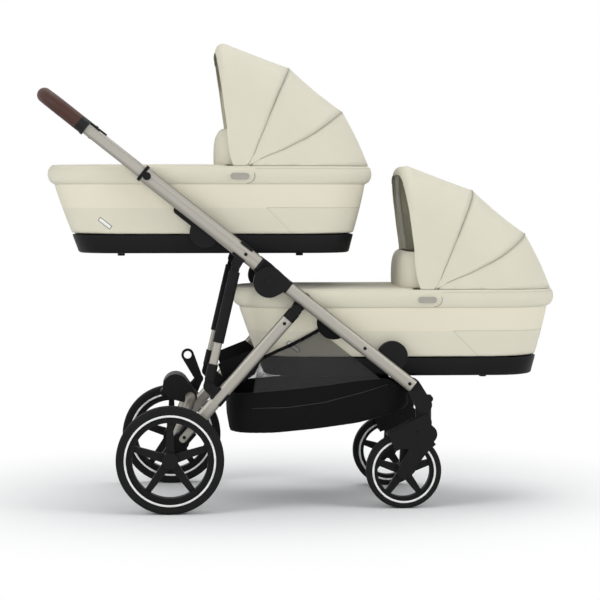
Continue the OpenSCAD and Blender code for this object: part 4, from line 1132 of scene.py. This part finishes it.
def make_tab(side, sign):
    """The half-round tab that hangs the basket's strap inside the front tube."""
    at = on_tube(*TAB_AT)
    up = on_tube(0, 1) - on_tube(0)
    bm = bmesh.new()
    disc(bm, at + Vector((0, sign * TAB_Y, 0)), TAB_R, TAB_THICK, "Y", 48, TAB_ROUND)
    made = cut(bm, at, up, clear_outer=True)
    edges = [part for part in made if isinstance(part, bmesh.types.BMEdge)]
    bmesh.ops.edgeloop_fill(bm, edges=edges)
    new_piece(f"basket_tab_{side}", bm, material("basket_cloth"), "chassis", "basket_fabric")


def strap_link(bm, a, b, y_in, y_out):
    """A flat strap from one point to the next in the side plane."""
    along = (b - a).normalized()
    square = Vector((-along.y, along.x)) * STRAP_HALF
    a, b = a - along * STRAP_HALF / 2, b + along * STRAP_HALF / 2
    ring = [a - square, b - square, b + square, a + square]
    pour(slab([(p.x, p.y) for p in ring], y_in, y_out), bm)


# Wheels

STRIPE_SHARE = 0.849
STRIPE_OUT, STRIPE_DEEP = 0.0003, 0.0016
STRIPE_STEPS = 72


def make_stripes(wheel, side):
    """Pale rings on both faces of a wheel's tyre."""
    low, high = (Vector(corner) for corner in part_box(f"{wheel}_tyre_{side}"))
    middle = (low + high) / 2
    radius = (high.z - low.z) / 2 * STRIPE_SHARE - sizes().stripe / 2
    bm = bmesh.new()
    for y in (low.y - STRIPE_OUT, high.y + STRIPE_OUT):
        made = bmesh.ops.create_grid(bm, x_segments=1, y_segments=1, size=0.5)["verts"]
        bmesh.ops.scale(bm, vec=(sizes().stripe, STRIPE_DEEP, 1), verts=made)
        bmesh.ops.translate(bm, vec=(middle.x + radius, y, middle.z), verts=made)
        geom = list(made) + list({part for v in made for part in (*v.link_edges, *v.link_faces)})
        bmesh.ops.spin(
            bm, geom=geom, cent=middle, axis=(0, 1, 0), angle=2 * pi, steps=STRIPE_STEPS,
            use_merge=True,
        )
    new_piece(f"{wheel}_stripe_{side}", bm, material("stripe"), f"{wheel}_wheel_{side}",
              "rim_plastic")


# Studio

WHITE = (1, 1, 1, 1)
SKY = (0.9, 0.92, 0.95, 1)
SKY_STRENGTH = 0.5
FLOOR_SIZE = 12
FLOOR_TONE = (0.92, 0.92, 0.92)
FLOOR_FADE, FLOOR_SOFT = 0.9, 0.45
LAMPS = (
    ("key", (-3.4, -2.6, 2.4), 2.4, 72), ("fill", (3.6, -2.2, 2.4), 2.4, 68),
    ("front", (0.2, -5.2, 1.2), 3.5, 52), ("top", (0.2, 0.6, 3.6), 2.6, 40),
)
LAMP_AIM = Vector((0, 0, 0.6))
LENS, SENSOR = 122.84, 36
CAMERA_AT = (-0.3109, -5.7630, 0.8689)
CAMERA_DOWN, CAMERA_TURN = 3.0893, 3.1627


def background_rays(graph):
    """1 where a ray from the camera, or one mirrored or let through, meets the background."""
    rays = graph.node("ShaderNodeLightPath").socket.node.outputs
    names = ("Is Camera Ray", "Is Glossy Ray", "Is Transmission Ray")
    camera, mirrored, through = [Wire(graph, rays[name]) for name in names]
    return camera.math("MAXIMUM", mirrored).math("MAXIMUM", through)


def make_floor(scene):
    """A pale floor that fades to white away from the pram."""
    bm = bmesh.new()
    bmesh.ops.create_grid(bm, x_segments=1, y_segments=1, size=FLOOR_SIZE)
    mesh = bpy.data.meshes.new("studio_floor")
    bm.to_mesh(mesh)
    bm.free()
    floor = bpy.data.objects.new("studio_floor", mesh)
    scene.collection.objects.link(floor)
    paint = Paint("studio_floor", roughness=0.9)
    paint.join(paint.shades(FLOOR_TONE, paint.noise(2), 0.01), paint.shader.inputs["Base Color"])
    x, y, z = paint.axes()
    away = (x * x + y * y).math("SQRT").above(FLOOR_FADE, FLOOR_SOFT)
    white = paint.node("ShaderNodeEmission", None, {"Color": WHITE, "Strength": 1.0})
    shown = paint.node("ShaderNodeMixShader", None, {
        0: away * background_rays(paint), 1: Wire(paint, paint.shader.outputs[0]), 2: white,
    })
    paint.join(shown, paint.tree.nodes["Material Output"].inputs["Surface"])
    mesh.materials.append(paint.material)


def make_world(scene):
    """Soft light all round, seen as white."""
    world = bpy.data.worlds.new("studio")
    scene.world = world
    world.use_nodes = True
    sky = Graph(world.node_tree)
    soft = sky.node("ShaderNodeBackground", None, {"Color": SKY, "Strength": SKY_STRENGTH})
    white = sky.node("ShaderNodeBackground", None, {"Color": WHITE, "Strength": 1.0})
    shown = sky.node("ShaderNodeMixShader", None, {0: background_rays(sky), 1: soft, 2: white})
    sky.join(shown, world.node_tree.nodes["World Output"].inputs["Surface"])


def make_lamps(scene):
    for name, place, size, power in LAMPS:
        light = bpy.data.lights.new(name, "AREA")
        light.size = size
        light.energy = power
        lamp = bpy.data.objects.new(name, light)
        lamp.location = place
        lamp.rotation_euler = (LAMP_AIM - Vector(place)).to_track_quat("-Z", "Y").to_euler()
        scene.collection.objects.link(lamp)


def make_camera(scene):
    camera = bpy.data.cameras.new("camera")
    camera.lens = LENS
    camera.sensor_width = SENSOR
    stand = bpy.data.objects.new("camera", camera)
    stand.location = CAMERA_AT
    stand.rotation_euler = (radians(90 - CAMERA_DOWN), 0, radians(-CAMERA_TURN))
    scene.collection.objects.link(stand)
    scene.camera = stand


# Operators

# Lean of each tube below the X axis, in degrees
TUBE_TURNS = {
    "front_tubes": 38, "upper_tubes": 38, "handle_bar": 38, "leg_tubes": 131, "strut_inner": -77,
    "rear_arch": 90,
}
MOULDED = (
    "front_crossbar", "front_elbows", "fold_hinge_lower", "fold_hinge_upper", "leg_brackets",
    "front_adapters", "upper_adapters", "tube_collars", "strut_brackets", "leg_sleeves",
    "strut_sockets", "wheel_carriers", "brake_housing", "brake_pedal", "release_lever",
    "strut_outer", "strut_clevis", "fork_left", "fork_right", "handle_button_left",
    "handle_button_right", "hinge_pins",
)


class PRAM_OT_frame(bpy.types.Operator):
    """Finish the tubes, joints and moulded pieces of the frame"""

    bl_idname = "pram.frame"
    bl_label = "Frame"

    def execute(self, context):
        for name, along in TUBE_TURNS.items():
            finish_nodes(tube_material(along), [name])
        finish_nodes(material("steel"), ["rear_axles"])
        finish_nodes(material("plastic"), MOULDED)
        finish_nodes(material("leather"), ["handle_grip"])
        finish_nodes(material("plate"), [f"{cot}_canopy_pivots" for cot in COTS])
        bows = [f"{cot}_bow_{name}" for cot in COTS for name in ("front", "mid", "rear")]
        finish_nodes(material("lining_cloth"), bows)
        make_bolts()
        return {"FINISHED"}


class PRAM_OT_wheels(bpy.types.Operator):
    """Finish the tyres and rims and add their pale rings"""

    bl_idname = "pram.wheels"
    bl_label = "Wheels"

    def execute(self, context):
        for wheel in ("front", "rear"):
            for side in SIDES:
                finish_nodes(material("rubber"), [f"{wheel}_tyre_{side}"])
                finish_nodes(material("plastic"), [f"{wheel}_rim_{side}"])
                make_stripes(wheel, side)
        return {"FINISHED"}


class PRAM_OT_cots(bpy.types.Operator):
    """Make the two carry-cots with their mattresses and aprons"""

    bl_idname = "pram.cots"
    bl_label = "Carry-Cots"

    def execute(self, context):
        for cot in COTS:
            make_shell(cot)
            make_base(cot)
            make_mattress(cot)
            make_apron(cot)
            make_flap(cot)
            make_covers(cot)
        return {"FINISHED"}


class PRAM_OT_canopies(bpy.types.Operator):
    """Stretch the canopies over their bows"""

    bl_idname = "pram.canopies"
    bl_label = "Canopies"

    def execute(self, context):
        for cot in COTS:
            make_canopy(cot)
        return {"FINISHED"}


class PRAM_OT_basket(bpy.types.Operator):
    """Hang the basket with its mesh sides"""

    bl_idname = "pram.basket"
    bl_label = "Basket"

    def execute(self, context):
        make_tub()
        make_panels()
        return {"FINISHED"}


class PRAM_OT_stage(bpy.types.Operator):
    """Set up the floor, the soft light and the camera"""

    bl_idname = "pram.stage"
    bl_label = "Studio"

    def execute(self, context):
        scene = context.scene
        scene.view_settings.view_transform = "Standard"
        make_floor(scene)
        make_world(scene)
        make_lamps(scene)
        make_camera(scene)
        return {"FINISHED"}


class PRAM_PT_panel(bpy.types.Panel):
    """The pram's steps and settings"""

    bl_idname = "PRAM_PT_panel"
    bl_label = "Tandem Pram"
    bl_space_type = "VIEW_3D"
    bl_region_type = "UI"
    bl_category = "Pram"

    def draw(self, context):
        for step in STEPS:
            self.layout.operator(step.bl_idname)
        for group in (context.scene.pram_colours, context.scene.pram_sizes):
            box = self.layout.box()
            for name in group.__annotations__:
                box.prop(group, name)


STEPS = (
    PRAM_OT_frame, PRAM_OT_wheels, PRAM_OT_cots, PRAM_OT_canopies, PRAM_OT_basket, PRAM_OT_stage,
)
CLASSES = (PramColours, PramSizes, *STEPS, PRAM_PT_panel)


def register():
    for cls in CLASSES:
        bpy.utils.register_class(cls)
    bpy.types.Scene.pram_colours = bpy.props.PointerProperty(type=PramColours)
    bpy.types.Scene.pram_sizes = bpy.props.PointerProperty(type=PramSizes)


def unregister():
    del bpy.types.Scene.pram_sizes
    del bpy.types.Scene.pram_colours
    for cls in reversed(CLASSES):
        bpy.utils.unregister_class(cls)


def main():
    register()
    bpy.ops.pram.frame()
    bpy.ops.pram.wheels()
    bpy.ops.pram.cots()
    bpy.ops.pram.canopies()
    bpy.ops.pram.basket()
    bpy.ops.pram.stage()


if __name__ == "__main__":
    main()
